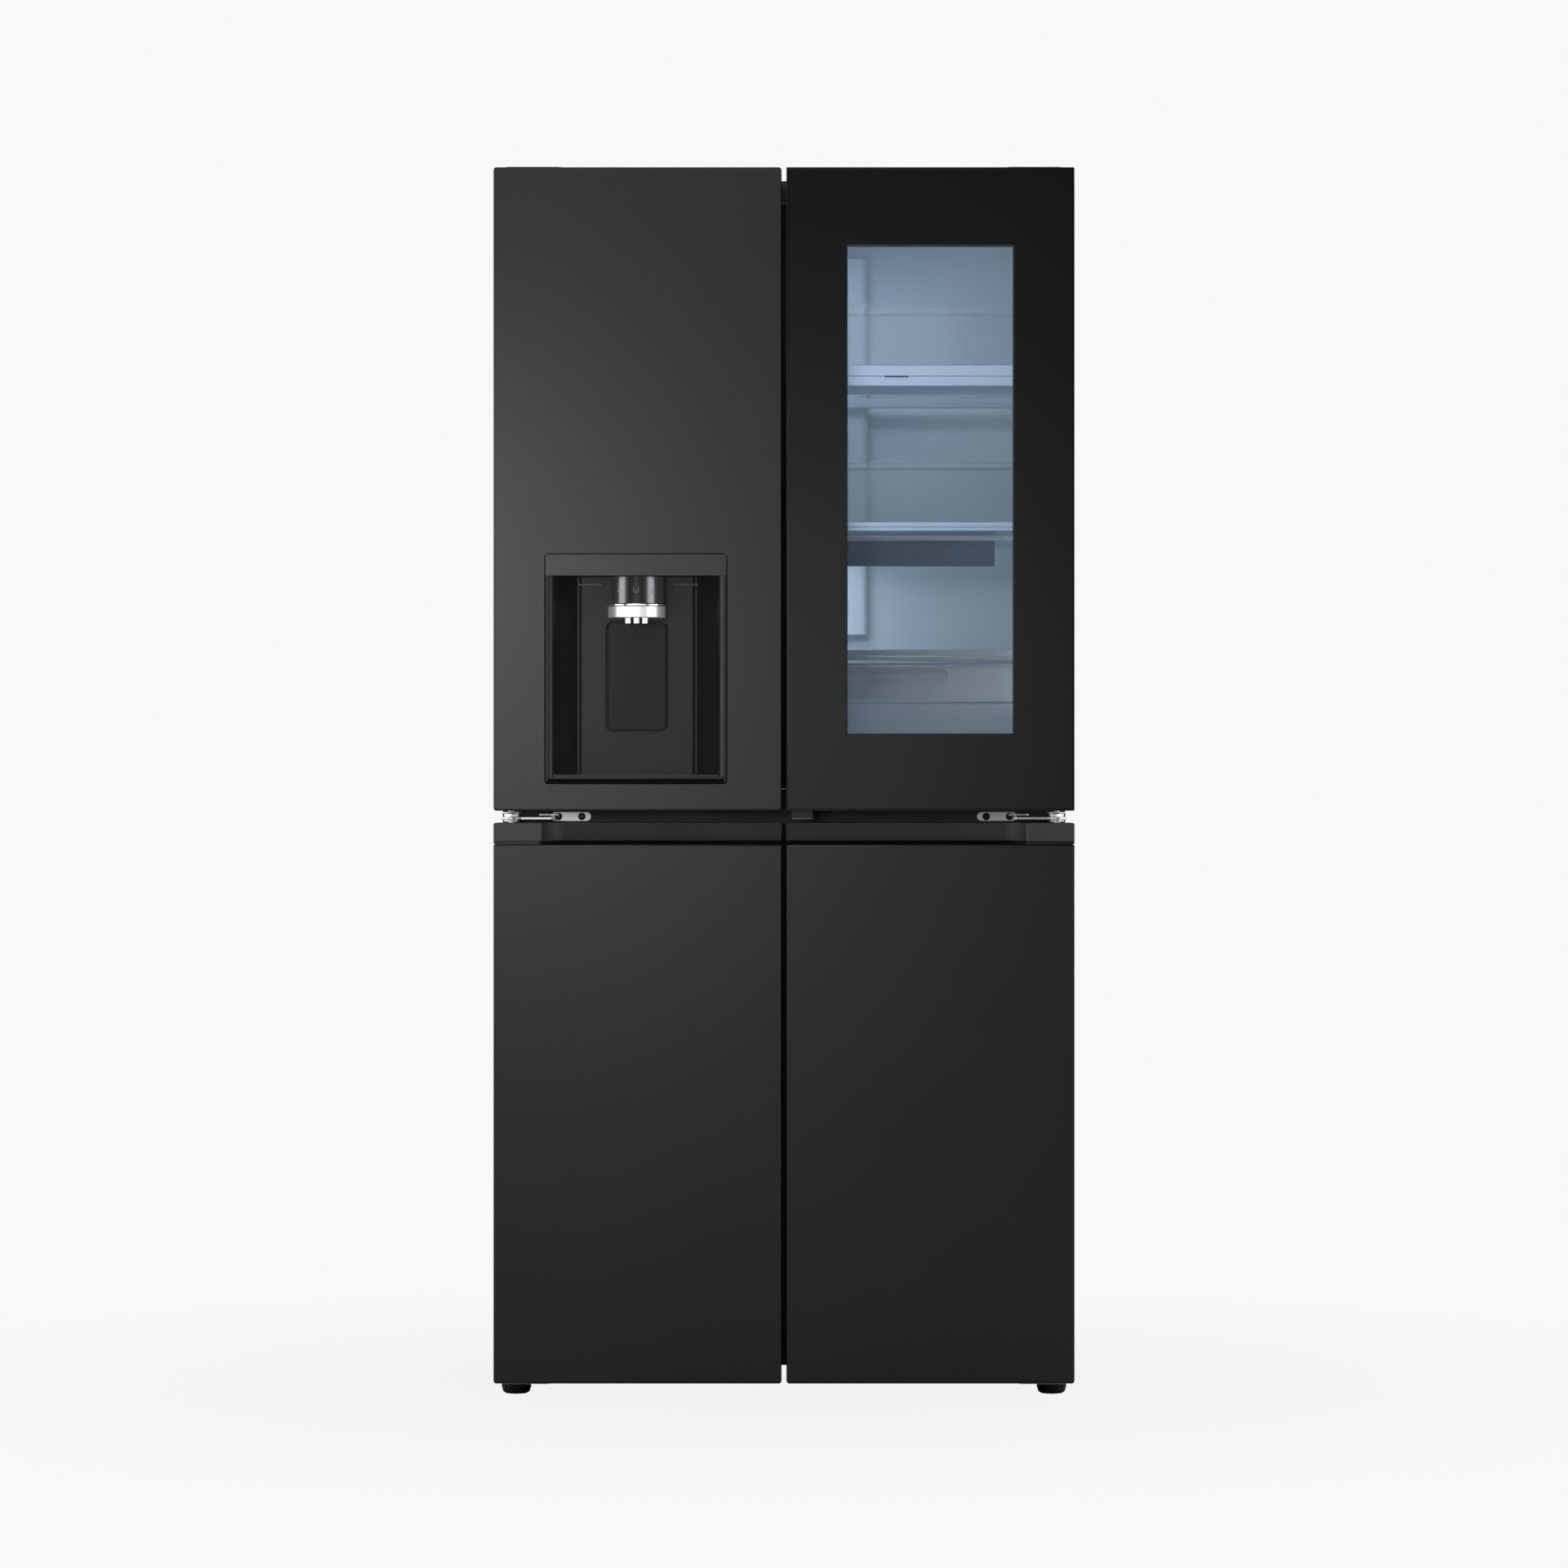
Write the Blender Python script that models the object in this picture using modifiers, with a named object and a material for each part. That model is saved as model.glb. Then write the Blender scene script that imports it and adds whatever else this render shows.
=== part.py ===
"""Four-door refrigerator: two fridge doors over two freezer doors, +Z up, front at -Y, origin on the floor.

The right fridge door is a door in a door with a glass window. Every moving body hangs on an empty
that stands on its joint's axis.
"""

import math

import bmesh
import bpy
from mathutils import Matrix, Vector

# ---------------------------------------------------------------- overall sizes, in metres
WIDTH = 0.835  # over the doors
DEPTH = 0.734  # door front to rear panel
DOOR_TOP = 1.774
COVER_RISE = 0.013  # the top hinge covers stand this much above the doors
FIT = 0.0003  # clearance between pieces that touch

# ---------------------------------------------------------------- cabinet
CABINET_INSET = 0.008  # cabinet side behind the door's side
CABINET_DROP = 0.0083  # cabinet top below the doors' top
CABINET_BOTTOM = 0.041
SHEET = 0.001
TOP_RAIL = 0.0317
BOTTOM_RAIL = 0.0406
MIDDLE_RAIL = 0.080
SIDE_WALL = 0.043  # outer sheet to compartment, insulation and liner included
BACK_WALL = 0.052
FREEZER_BACK_WALL = 0.060
CENTRE_WALL = 0.060  # between the two freezer compartments
MACHINE_HEIGHT = 0.224
MACHINE_DEPTH = 0.217
MACHINE_CHEEK = 0.0195  # insulation left at each side of the machine room
MACHINE_WALL = 0.045  # insulation between machine room and freezer

# ---------------------------------------------------------------- doors
DOOR_THICKNESS = 0.098
SEAL_GAP = 0.012  # door back to cabinet front
CENTRE_GAP = 0.007
UPPER_DOOR_BOTTOM = 0.849
LEVEL_GAP = 0.0175  # between upper and lower doors
LOWER_DOOR_BOTTOM = 0.0257
SKIN = 0.0012
SKIN_RETURN = 0.008  # the skin's side stops this far before the door's back
EDGE = 0.0012  # rounding of sheet and cap edges
HINGE_IN = 0.0235  # hinge axis from the door's outer side
HINGE_BACK = 0.0525  # hinge axis behind the door's front
PIN_RADIUS = 0.005
PIN_LENGTH = 0.014
PIN_CLEARANCE = 0.0003
ROUND_SIDES = 24

SEAL_WIDTH = 0.016
SEAL_FROM_HINGE_SIDE = 0.026
SEAL_FROM_FREE_SIDE = 0.008
SEAL_FROM_TOP = 0.0205
SEAL_FROM_MIDDLE = 0.010
SEAL_FROM_BOTTOM = 0.0348
RIB_DEPTH = 0.028  # the door liner's raised rib, into the compartment
RIB_WALL = 0.016
RIB_CLEARANCE = 0.012  # rib to compartment wall

# ---------------------------------------------------------------- lower doors' grip cap
CAP_HEIGHT = 0.031
CAP_GROOVE = 0.0045
CAP_GROOVE_DEPTH = 0.003
GRIP_DEPTH = 0.020
GRIP_START = 0.052  # from the door's outer side to where the scoop begins
GRIP_RUN = 0.040  # length of the scoop's curved end
FINGER_DEPTH = 0.022
FINGER_LIP = 0.004
FINGER_END = 0.026
FINGER_END_BY_BUTTON = 0.058

# ---------------------------------------------------------------- right fridge door
OUTER_THICKNESS = 0.036
OUTER_SEAL_GAP = 0.007
OUTER_HINGE_IN = 0.014
GLASS = 0.004
GLASS_TRIM = 0.0022
WINDOW_WIDTH = 0.2414
WINDOW_FROM_TOP = 0.1108
WINDOW_FROM_BOTTOM = 0.1096
WINDOW_REBATE = 0.010
WINDOW_UNIT = 0.026
TUNNEL_DEPTH = 0.159  # inner frame's front to the back of its basket tunnel
TUNNEL_WALL = 0.010
TUNNEL_FROM_CENTRE = 0.050
LUG_HEIGHT = 0.020
LUG_HALF = 0.006
LUG_PIN = 0.0035
LUG_SWING_ROOM = 0.004  # in front of the lug, for its far side when the outer door is open
LUG_FROM_END = 0.060
LUG_CLEARANCE = 0.0015
# each basket's floor as a share of the tunnel's height, and the floor's thickness
BASKET_WALL = 0.0025
BASKET_HEIGHT = 0.088
BASKETS = {"upper": (0.7303, 0.030), "middle": (0.4490, 0.013), "lower": (0.0208, 0.013)}
BUTTON_WIDTH = 0.0315
BUTTON_DEPTH = 0.020
BUTTON_DROP = 0.0125
BUTTON_TALL = 0.0275
BUTTON_TRAVEL = 0.004
BUTTON_FROM_EDGE = 0.007
BUTTON_BACK = 0.010

# ---------------------------------------------------------------- water and ice dispenser
DISPENSER_WIDTH = 0.260
DISPENSER_HEIGHT = 0.329
DISPENSER_SHIFT = -0.0023  # from the middle of the door
DISPENSER_RISE = 0.0396  # above the door's bottom
DISPENSER_CORNER = 0.0046
BAR_HEIGHT = 0.0305
BAR_THICKNESS = 0.012
RECESS_TO_BACK = 0.028  # recess to the back of the door
RECESS_RIM = 0.0025
RIM_RADIUS = 0.012
PANEL_HALF = 0.0835
PANEL_RAISE = 0.004
FLOOR_LIP = 0.0045
HOUSING_WALL = 0.003
PADDLE_WIDTH = 0.084
PADDLE_HEIGHT = 0.155
PADDLE_GAP = 0.0035
PADDLE_THICKNESS = 0.004
PADDLE_CORNER = 0.008
PADDLE_RISE = 0.2321  # its top above the dispenser's bottom
PADDLE_SWING = 4.0  # degrees
PADDLE_PIN = 0.0017
PADDLE_PIN_DROP = 0.004
NOZZLE_RADIUS = 0.039
NOZZLE_FROM_FRONT = 0.048
NOZZLE_HEIGHT = 0.0396
RING_RADIUS = 0.0455
RING_HEIGHT = 0.0036
COLLAR_RADIUS = 0.041
COLLAR_HEIGHT = 0.0162
SPOUT_RADIUS = 0.0042
SPOUT_LENGTH = 0.0085
SPOUT_SPACING = 0.013
TRAY_HEIGHT = 0.008

# ---------------------------------------------------------------- left fridge door's inside
FLAP_WIDTH = 0.0475
FLAP_THICKNESS = 0.018
FLAP_FROM_CENTRE = 0.0045
FLAP_PIVOT_IN = 0.006
FLAP_PIVOT_BACK = 0.012
FLAP_END_GAP = 0.006
FLAP_LUG = 0.003
FLAP_PIN = 0.002
FLAP_PIN_LENGTH = 0.008
ICE_BOX_DEPTH = 0.140
ICE_BOX_HEIGHT = 0.445
ICE_BOX_DROP = 0.039  # below the compartment's ceiling
DOOR_BASKET_RISE = 0.035  # above the compartment's floor
DOOR_BASKET_DEPTH = 0.110

# ---------------------------------------------------------------- hinges, feet, machine room
PLATE = 0.003
ARM_RADIUS = 0.012
TOP_ARM_OUT = 0.003  # the top arm stays this close to its pin on the outside, clear of the outer door
TOP_ARM_IN = 0.020
TOP_PLATE_OUT = 0.008  # the top plate's outer side from the pin
TOP_HINGE_LENGTH = 0.085
TOP_HINGE_WIDTH = 0.070
COVER_WALL = 0.002
MIDDLE_PLATE_HALF_HEIGHT = 0.0065
MIDDLE_PLATE_FROM_SIDE = (0.0605, 0.1365)
MIDDLE_ARM = 0.005
BOTTOM_PLATE_DROP = 0.0012
BOTTOM_PLATE = 0.0035
BOTTOM_HINGE_WIDTH = 0.070
FOOT_RADIUS = 0.0215
FOOT_HEIGHT = 0.018
FOOT_STEM = 0.006
FOOT_IN = 0.0275
FOOT_BACK = 0.008
ROLLER_RADIUS = 0.018
ROLLER_WIDTH = 0.020
ROLLER_FROM_SIDE = 0.030  # inside the machine room
ROLLER_FROM_BACK = 0.065
AXLE_RADIUS = 0.004
EAR = 0.003
COMPRESSOR_RADIUS = 0.078
COMPRESSOR_HEIGHT = 0.170
FAN_RADIUS = 0.060
FAN_BLADES = 5
FAN_SHAFT = 0.003
GLAND_RADIUS = 0.009
CORD_RADIUS = 0.0045
SHELF_GLASS = 0.005
SHELF_TRIM = 0.014
SHELF_GAP = 0.003
SHELF_SETBACK = 0.157  # cabinet front to shelf
SHELF_SHARES = {"upper_shelf": 0.7026, "middle_shelf": 0.4472, "crisper_cover": 0.2398}
LEDGE = 0.012
LEDGE_HEIGHT = 0.010
DRAWER_WALL = 0.003
DRAWER_FRONT = 0.014
DRAWER_SETBACK = 0.042
DRAWER_GAP = 0.004

# ---------------------------------------------------------------- places worked out from the sizes
FRONT, BACK = -DEPTH / 2, DEPTH / 2
DOOR_BACK = FRONT + DOOR_THICKNESS
CABINET_FRONT = DOOR_BACK + SEAL_GAP
CABINET_SIDE = WIDTH / 2 - CABINET_INSET
CABINET_TOP = DOOR_TOP - CABINET_DROP
DOOR_SIDE, DOOR_EDGE = WIDTH / 2, CENTRE_GAP / 2
LOWER_DOOR_TOP = UPPER_DOOR_BOTTOM - LEVEL_GAP
LOWER_PANEL_TOP = LOWER_DOOR_TOP - CAP_HEIGHT
HINGE_X, HINGE_Y = DOOR_SIDE - HINGE_IN, FRONT + HINGE_BACK
INNER_SIDE = CABINET_SIDE - SIDE_WALL
FRIDGE_CEILING = CABINET_TOP - TOP_RAIL
FREEZER_FLOOR = CABINET_BOTTOM + BOTTOM_RAIL
MIDDLE_HEIGHT = UPPER_DOOR_BOTTOM - LEVEL_GAP / 2
FRIDGE_FLOOR = MIDDLE_HEIGHT + MIDDLE_RAIL / 2
FREEZER_CEILING = MIDDLE_HEIGHT - MIDDLE_RAIL / 2
FRIDGE_BACK = BACK - BACK_WALL
FREEZER_BACK = BACK - FREEZER_BACK_WALL
MACHINE_FRONT = BACK - MACHINE_DEPTH
MACHINE_TOP = CABINET_BOTTOM + MACHINE_HEIGHT
MACHINE_SIDE = CABINET_SIDE - MACHINE_CHEEK
ROLLER_X = MACHINE_SIDE - ROLLER_FROM_SIDE
OUTER_BACK = FRONT + OUTER_THICKNESS
INNER_FRONT = OUTER_BACK + OUTER_SEAL_GAP
TUNNEL_BACK = INNER_FRONT + TUNNEL_DEPTH
HINGE_POCKET_FLOOR = CABINET_TOP - 0.0012
RECESS_DEPTH = DOOR_THICKNESS - RECESS_TO_BACK
DISPENSER_X = DISPENSER_SHIFT - (DOOR_SIDE + DOOR_EDGE) / 2
DISPENSER_BOTTOM = UPPER_DOOR_BOTTOM + DISPENSER_RISE
DISPENSER_TOP = DISPENSER_BOTTOM + DISPENSER_HEIGHT
RECESS_TOP = DISPENSER_TOP - BAR_HEIGHT
RECESS_FLOOR = DISPENSER_BOTTOM + FLOOR_LIP
NOZZLE_BOTTOM = RECESS_TOP - NOZZLE_HEIGHT
PADDLE_TOP = DISPENSER_BOTTOM + PADDLE_RISE
PANEL_Y = FRONT + RECESS_DEPTH - PANEL_RAISE
PADDLE_TRAVEL = PADDLE_HEIGHT * math.sin(math.radians(PADDLE_SWING))
POCKET_BACK = PANEL_Y + PADDLE_THICKNESS + PADDLE_TRAVEL + 0.002
HOUSING_BACK = POCKET_BACK + HOUSING_WALL
SHELF_FRONT = CABINET_FRONT + SHELF_SETBACK
FREEZER_MIDDLE = (FREEZER_FLOOR + FREEZER_CEILING) / 2


def clear_scene():
    for old in list(bpy.data.objects):
        bpy.data.objects.remove(old)


def new_collection(name):
    made = bpy.data.collections.new(name)
    bpy.context.scene.collection.children.link(made)
    return made


clear_scene()
PARTS = new_collection("refrigerator")
CUTTERS = new_collection("cutters")


def material(name, colour, roughness, metallic=0.0, alpha=1.0):
    made = bpy.data.materials.new(name)
    made.use_nodes = True
    shader = made.node_tree.nodes["Principled BSDF"]
    shader.inputs["Base Color"].default_value = (*colour, 1.0)
    shader.inputs["Roughness"].default_value = roughness
    shader.inputs["Metallic"].default_value = metallic
    shader.inputs["Alpha"].default_value = alpha
    return made


GRAPHITE = material("graphite_steel", (0.055, 0.057, 0.062), 0.38, 0.6)
CABINET_PAINT = material("cabinet_paint", (0.09, 0.092, 0.098), 0.45, 0.3)
ZINC = material("zinc_steel", (0.62, 0.63, 0.65), 0.35, 1.0)
DARK_PLASTIC = material("dark_plastic", (0.035, 0.036, 0.040), 0.45)
LINER_WHITE = material("liner_white", (0.80, 0.83, 0.86), 0.40)
CLEAR_PLASTIC = material("clear_plastic", (0.82, 0.88, 0.92), 0.12, 0.0, 0.45)
BLACK_GLASS = material("black_glass", (0.012, 0.012, 0.014), 0.06)
CLEAR_GLASS = material("clear_glass", (0.80, 0.86, 0.90), 0.03, 0.0, 0.3)
SEAL_RUBBER = material("seal_rubber", (0.16, 0.16, 0.17), 0.7)
CHROME = material("chrome", (0.85, 0.86, 0.88), 0.12, 1.0)
GLOSS_GREY = material("gloss_grey", (0.28, 0.29, 0.31), 0.2, 0.4)
BLACK_ENAMEL = material("black_enamel", (0.02, 0.02, 0.022), 0.35, 0.2)
FOOT_PLASTIC = material("foot_plastic", (0.03, 0.03, 0.032), 0.55)


def object_from(name, mesh_builder, finish, centre, cutter=False):
    """An object at centre whose mesh the builder makes around its own origin."""
    mesh = bpy.data.meshes.new(name)
    bm = bmesh.new()
    mesh_builder(bm)
    bm.to_mesh(mesh)
    bm.free()
    made = bpy.data.objects.new(name, mesh)
    made.location = centre
    if cutter:
        CUTTERS.objects.link(made)
        made.hide_render = True
        made.display_type = "WIRE"
    else:
        PARTS.objects.link(made)
        mesh.materials.append(finish)
    return made


def ordered(a, b):
    return Vector(map(min, a, b)), Vector(map(max, a, b))


def block(name, a, b, finish=None, round_along=None, radius=0.0, segments=4, edge=0.0):
    """A box between corners a and b. The four edges along one axis may be rounded, or all by a Bevel."""
    low, high = ordered(a, b)
    size = high - low

    def build(bm):
        bmesh.ops.create_cube(bm, size=1.0, matrix=Matrix.Diagonal((*size, 1.0)))
        if round_along is None:
            return
        axis = "XYZ".index(round_along)
        along = []
        for e in bm.edges:
            run = e.verts[0].co - e.verts[1].co
            if abs(run[axis]) > size[axis] / 2:
                along.append(e)
        bmesh.ops.bevel(
            bm, geom=along, offset=radius, segments=segments, affect="EDGES", profile=0.5
        )

    made = object_from(name, build, finish, (low + high) / 2, cutter=finish is None)
    if edge:
        round_edges(made, edge)
    return made


def round_edges(piece, width, segments=2):
    bevel = piece.modifiers.new("round_edges", "BEVEL")
    bevel.width = width
    bevel.segments = segments
    bevel.limit_method = "ANGLE"


def rod(name, centre, radius, length, along="Z", finish=None, sides=ROUND_SIDES):
    """A round bar whose middle is at centre."""
    turns = {
        "X": Matrix.Rotation(math.pi / 2, 4, "Y"),
        "Y": Matrix.Rotation(math.pi / 2, 4, "X"),
        "Z": Matrix(),
    }

    def build(bm):
        bmesh.ops.create_cone(
            bm,
            cap_ends=True,
            segments=sides,
            radius1=radius,
            radius2=radius,
            depth=length,
            matrix=turns[along],
        )

    return object_from(name, build, finish, centre, cutter=finish is None)


def turned(name, profile, centre, finish, steps=ROUND_SIDES):
    """A turned piece: (radius, height) points from the top down, on the axis at both ends."""

    def build(bm):
        corners = [bm.verts.new((r, 0, z)) for r, z in profile]
        for one, other in zip(corners, corners[1:]):
            bm.edges.new((one, other))

    made = object_from(name, build, finish, centre, cutter=finish is None)
    screw = made.modifiers.new("turn", "SCREW")
    screw.steps = screw.render_steps = steps
    screw.use_merge_vertices = True
    screw.merge_threshold = 0.00001
    return made


def prism(name, outline, bottom, top, finish=None):
    """A flat outline in X and Y, extruded from bottom to top, as a mesh."""
    data = bpy.data.curves.new(name, "CURVE")
    data.dimensions = "2D"
    data.fill_mode = "BOTH"
    data.extrude = (top - bottom) / 2
    line = data.splines.new("POLY")
    line.points.add(len(outline) - 1)
    for point, (x, y) in zip(line.points, outline):
        point.co = (x, y, 0, 1)
    line.use_cyclic_u = True
    flat = bpy.data.objects.new(name + "_outline", data)
    flat.location = (0, 0, (bottom + top) / 2)
    CUTTERS.objects.link(flat)
    bpy.context.view_layer.update()
    graph = bpy.context.evaluated_depsgraph_get()
    mesh = bpy.data.meshes.new_from_object(flat.evaluated_get(graph))

    def build(bm):
        bm.from_mesh(mesh)
        bmesh.ops.remove_doubles(bm, verts=bm.verts, dist=0.00001)
        bmesh.ops.recalc_face_normals(bm, faces=bm.faces)

    made = object_from(name, build, finish, flat.location.copy(), cutter=finish is None)
    bpy.data.objects.remove(flat)
    return made


def boolean(piece, others, operation):
    for other in others:
        step = piece.modifiers.new(operation.lower(), "BOOLEAN")
        step.operation = operation
        step.object = other
        step.solver = "EXACT"
    return piece


def cut(piece, *cutters):
    return boolean(piece, cutters, "DIFFERENCE")


def join(piece, *additions):
    return boolean(piece, additions, "UNION")


def pivot(name, place, parent=None):
    """An empty on a joint's axis, for the pieces of one moving body."""
    made = bpy.data.objects.new(name, None)
    made.location = place
    PARTS.objects.link(made)
    if parent:
        hang(parent, made)
    return made


def hang(parent, *pieces):
    """Parents pieces to an empty and leaves them where they are."""
    bpy.context.view_layer.update()
    for piece in pieces:
        piece.parent = parent
        piece.matrix_parent_inverse = parent.matrix_world.inverted()


# ---------------------------------------------------------------- cabinet


def freezer_span(side):
    return side * CENTRE_WALL / 2, side * INNER_SIDE


def compartment_cutters(owner, front):
    """The fridge compartment and both freezers, open at the front and stepped over the machine room."""
    cutters = [
        block(
            f"{owner}_fridge_hollow",
            (-INNER_SIDE, front, FRIDGE_FLOOR),
            (INNER_SIDE, FRIDGE_BACK, FRIDGE_CEILING),
        )
    ]
    step_back = MACHINE_FRONT - MACHINE_WALL
    step_top = MACHINE_TOP + MACHINE_WALL
    for side in (-1, 1):
        near, far = freezer_span(side)
        lower = ((near, front, FREEZER_FLOOR), (far, step_back, FREEZER_CEILING))
        upper = ((near, front, step_top), (far, FREEZER_BACK, FREEZER_CEILING))
        cutters += [
            block(f"{owner}_freezer_hollow_low_{side}", *lower),
            block(f"{owner}_freezer_hollow_high_{side}", *upper),
        ]
    return cutters


def make_cabinet():
    inner = CABINET_SIDE - SHEET
    shell = block(
        "cabinet_shell",
        (-CABINET_SIDE, CABINET_FRONT, CABINET_BOTTOM),
        (CABINET_SIDE, BACK, CABINET_TOP),
        CABINET_PAINT,
        edge=EDGE / 2,
    )
    room = block(
        "shell_inside",
        (-inner, CABINET_FRONT + SHEET, CABINET_BOTTOM - 0.05),
        (inner, BACK + 0.05, CABINET_TOP - SHEET),
    )
    cut(shell, room, *compartment_cutters("shell", CABINET_FRONT - 0.05))

    side, top = inner - FIT, CABINET_TOP - SHEET - FIT
    liner = block(
        "insulated_liner",
        (-side, CABINET_FRONT + SHEET + FIT, CABINET_BOTTOM),
        (side, BACK - SHEET - FIT, top),
        LINER_WHITE,
    )
    machine_room = block(
        "machine_room",
        (-MACHINE_SIDE, MACHINE_FRONT, CABINET_BOTTOM - 0.05),
        (MACHINE_SIDE, BACK + 0.05, MACHINE_TOP),
    )
    cut(liner, machine_room, *compartment_cutters("liner", CABINET_FRONT - 0.05))
    join(liner, *shelf_ledges(), *drawer_ledges())

    block(
        "rear_panel",
        (-side, BACK - SHEET, MACHINE_TOP),
        (side, BACK, top),
        ZINC,
    )


def shelf_height(name):
    return FRIDGE_FLOOR + SHELF_SHARES[name] * (FRIDGE_CEILING - FRIDGE_FLOOR)


def shelf_ledges():
    """Ribs of the liner that the shelves rest on."""
    ledges = []
    for name in SHELF_SHARES:
        top = shelf_height(name) - SHELF_GLASS - FIT
        for side in (-1, 1):
            ledge = block(
                f"{name}_ledge_{side}",
                (side * (INNER_SIDE - LEDGE), SHELF_FRONT + 0.020, top - LEDGE_HEIGHT),
                (side * (INNER_SIDE + 0.002), FRIDGE_BACK + 0.002, top),
            )
            ledges.append(ledge)
    return ledges


def drawer_ledges():
    """Ribs that the upper freezer drawers rest on."""
    ledges = []
    for side in (-1, 1):
        near, far = freezer_span(side)
        for wall, inward in ((near, side), (far, -side)):
            ledge = block(
                f"drawer_ledge_{side}_{inward}",
                (wall - inward * 0.002, CABINET_FRONT + DRAWER_SETBACK + 0.020, FREEZER_MIDDLE - 0.003),
                (wall + inward * LEDGE, MACHINE_FRONT - MACHINE_WALL, FREEZER_MIDDLE + DRAWER_GAP - FIT),
            )
            ledges.append(ledge)
    return ledges


def make_machine_room():
    cover = block(
        "machine_cover",
        (-MACHINE_SIDE + FIT, BACK - 0.002, CABINET_BOTTOM + 0.001),
        (MACHINE_SIDE - FIT, BACK, MACHINE_TOP - FIT),
        DARK_PLASTIC,
    )
    rows, columns, slot_length, slot_height, pitch = 7, 3, 0.180, 0.006, 0.022
    for row in range(rows):
        for column in range(columns):
            x = (column - (columns - 1) / 2) * (slot_length + 0.040)
            z = CABINET_BOTTOM + 0.050 + row * pitch
            slot = block(
                f"vent_slot_{row}_{column}",
                (x - slot_length / 2, BACK - 0.02, z),
                (x + slot_length / 2, BACK + 0.02, z + slot_height),
            )
            cut(cover, slot)
    gland_x, gland_z = MACHINE_SIDE - 0.035, MACHINE_TOP - 0.065
    gland = rod("cord_gland", (gland_x, BACK - 0.0065, gland_z), GLAND_RADIUS, 0.012, "Y")
    join(cover, gland)
    cut(cover, rod("cord_hole", (gland_x, BACK, gland_z), CORD_RADIUS, 0.06, "Y"))

    pan_bottom, pan_top = CABINET_BOTTOM + 0.0015, CABINET_BOTTOM + 0.0045
    pan = block(
        "base_pan",
        (-MACHINE_SIDE + FIT, MACHINE_FRONT + FIT, pan_bottom),
        (MACHINE_SIDE - FIT, BACK - 0.003, pan_top),
        ZINC,
    )
    axle_y = BACK - ROLLER_FROM_BACK
    axle_z = ROLLER_RADIUS * math.cos(math.pi / ROUND_SIDES)
    for side in (-1, 1):
        for inner in (-1, 1):
            x = side * ROLLER_X + inner * (ROLLER_WIDTH / 2 + 0.003)
            ear = block(
                f"roller_ear_{side}_{inner}",
                (x - inner * EAR / 2, axle_y - 0.012, axle_z - 0.010),
                (x + inner * EAR / 2, axle_y + 0.012, pan_bottom + 0.0015),
            )
            join(pan, ear)
        hole = rod(
            f"axle_hole_{side}",
            (side * ROLLER_X, axle_y, axle_z),
            AXLE_RADIUS + PIN_CLEARANCE,
            0.050,
            "X",
        )
        cut(pan, hole)
    make_rollers(axle_y, axle_z)
    make_compressor(pan_top)
    make_fan(pan_top)


def make_rollers(axle_y, axle_z):
    """Wheel and axle in one, turned about X, with a flat of the wheel on the floor."""
    half, axle_half = ROLLER_WIDTH / 2, ROLLER_WIDTH / 2 + 0.008
    profile = [
        (0, axle_half),
        (AXLE_RADIUS, axle_half),
        (AXLE_RADIUS, half),
        (ROLLER_RADIUS, half),
        (ROLLER_RADIUS, -half),
        (AXLE_RADIUS, -half),
        (AXLE_RADIUS, -axle_half),
        (0, -axle_half),
    ]
    for side, name in ((-1, "left"), (1, "right")):
        place = (side * ROLLER_X, axle_y, axle_z)
        roller = turned(f"rear_roller_{name}", profile, place, FOOT_PLASTIC)
        half_step = Matrix.Rotation(math.pi / ROUND_SIDES, 4, "X")
        lie_down = Matrix.Rotation(math.pi / 2, 4, "Y")
        roller.rotation_euler = (half_step @ lie_down).to_euler()
        hang(pivot(f"roller_axis_{name}", place), roller)


def make_compressor(floor):
    """A welded steel pot on a flanged foot, with its top and bottom domed."""
    r, h, foot = COMPRESSOR_RADIUS, COMPRESSOR_HEIGHT, 0.006
    dome = 0.045
    steps = 5
    profile = [(0.0, h)]
    for i in range(1, steps + 1):
        turn = i / steps * math.pi / 2
        profile.append((r * math.sin(turn), h - dome + dome * math.cos(turn)))
    profile += [(r, 0.070), (r + 0.004, 0.068), (r + 0.004, 0.062), (r, 0.060)]
    profile += [(r, 0.035), (r * 0.75, foot), (r * 0.75, 0.0), (0.0, 0.0)]
    place = (-0.230, BACK - 0.110, floor + FIT)
    turned("compressor", profile, place, BLACK_ENAMEL, steps=ROUND_SIDES)


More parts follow.
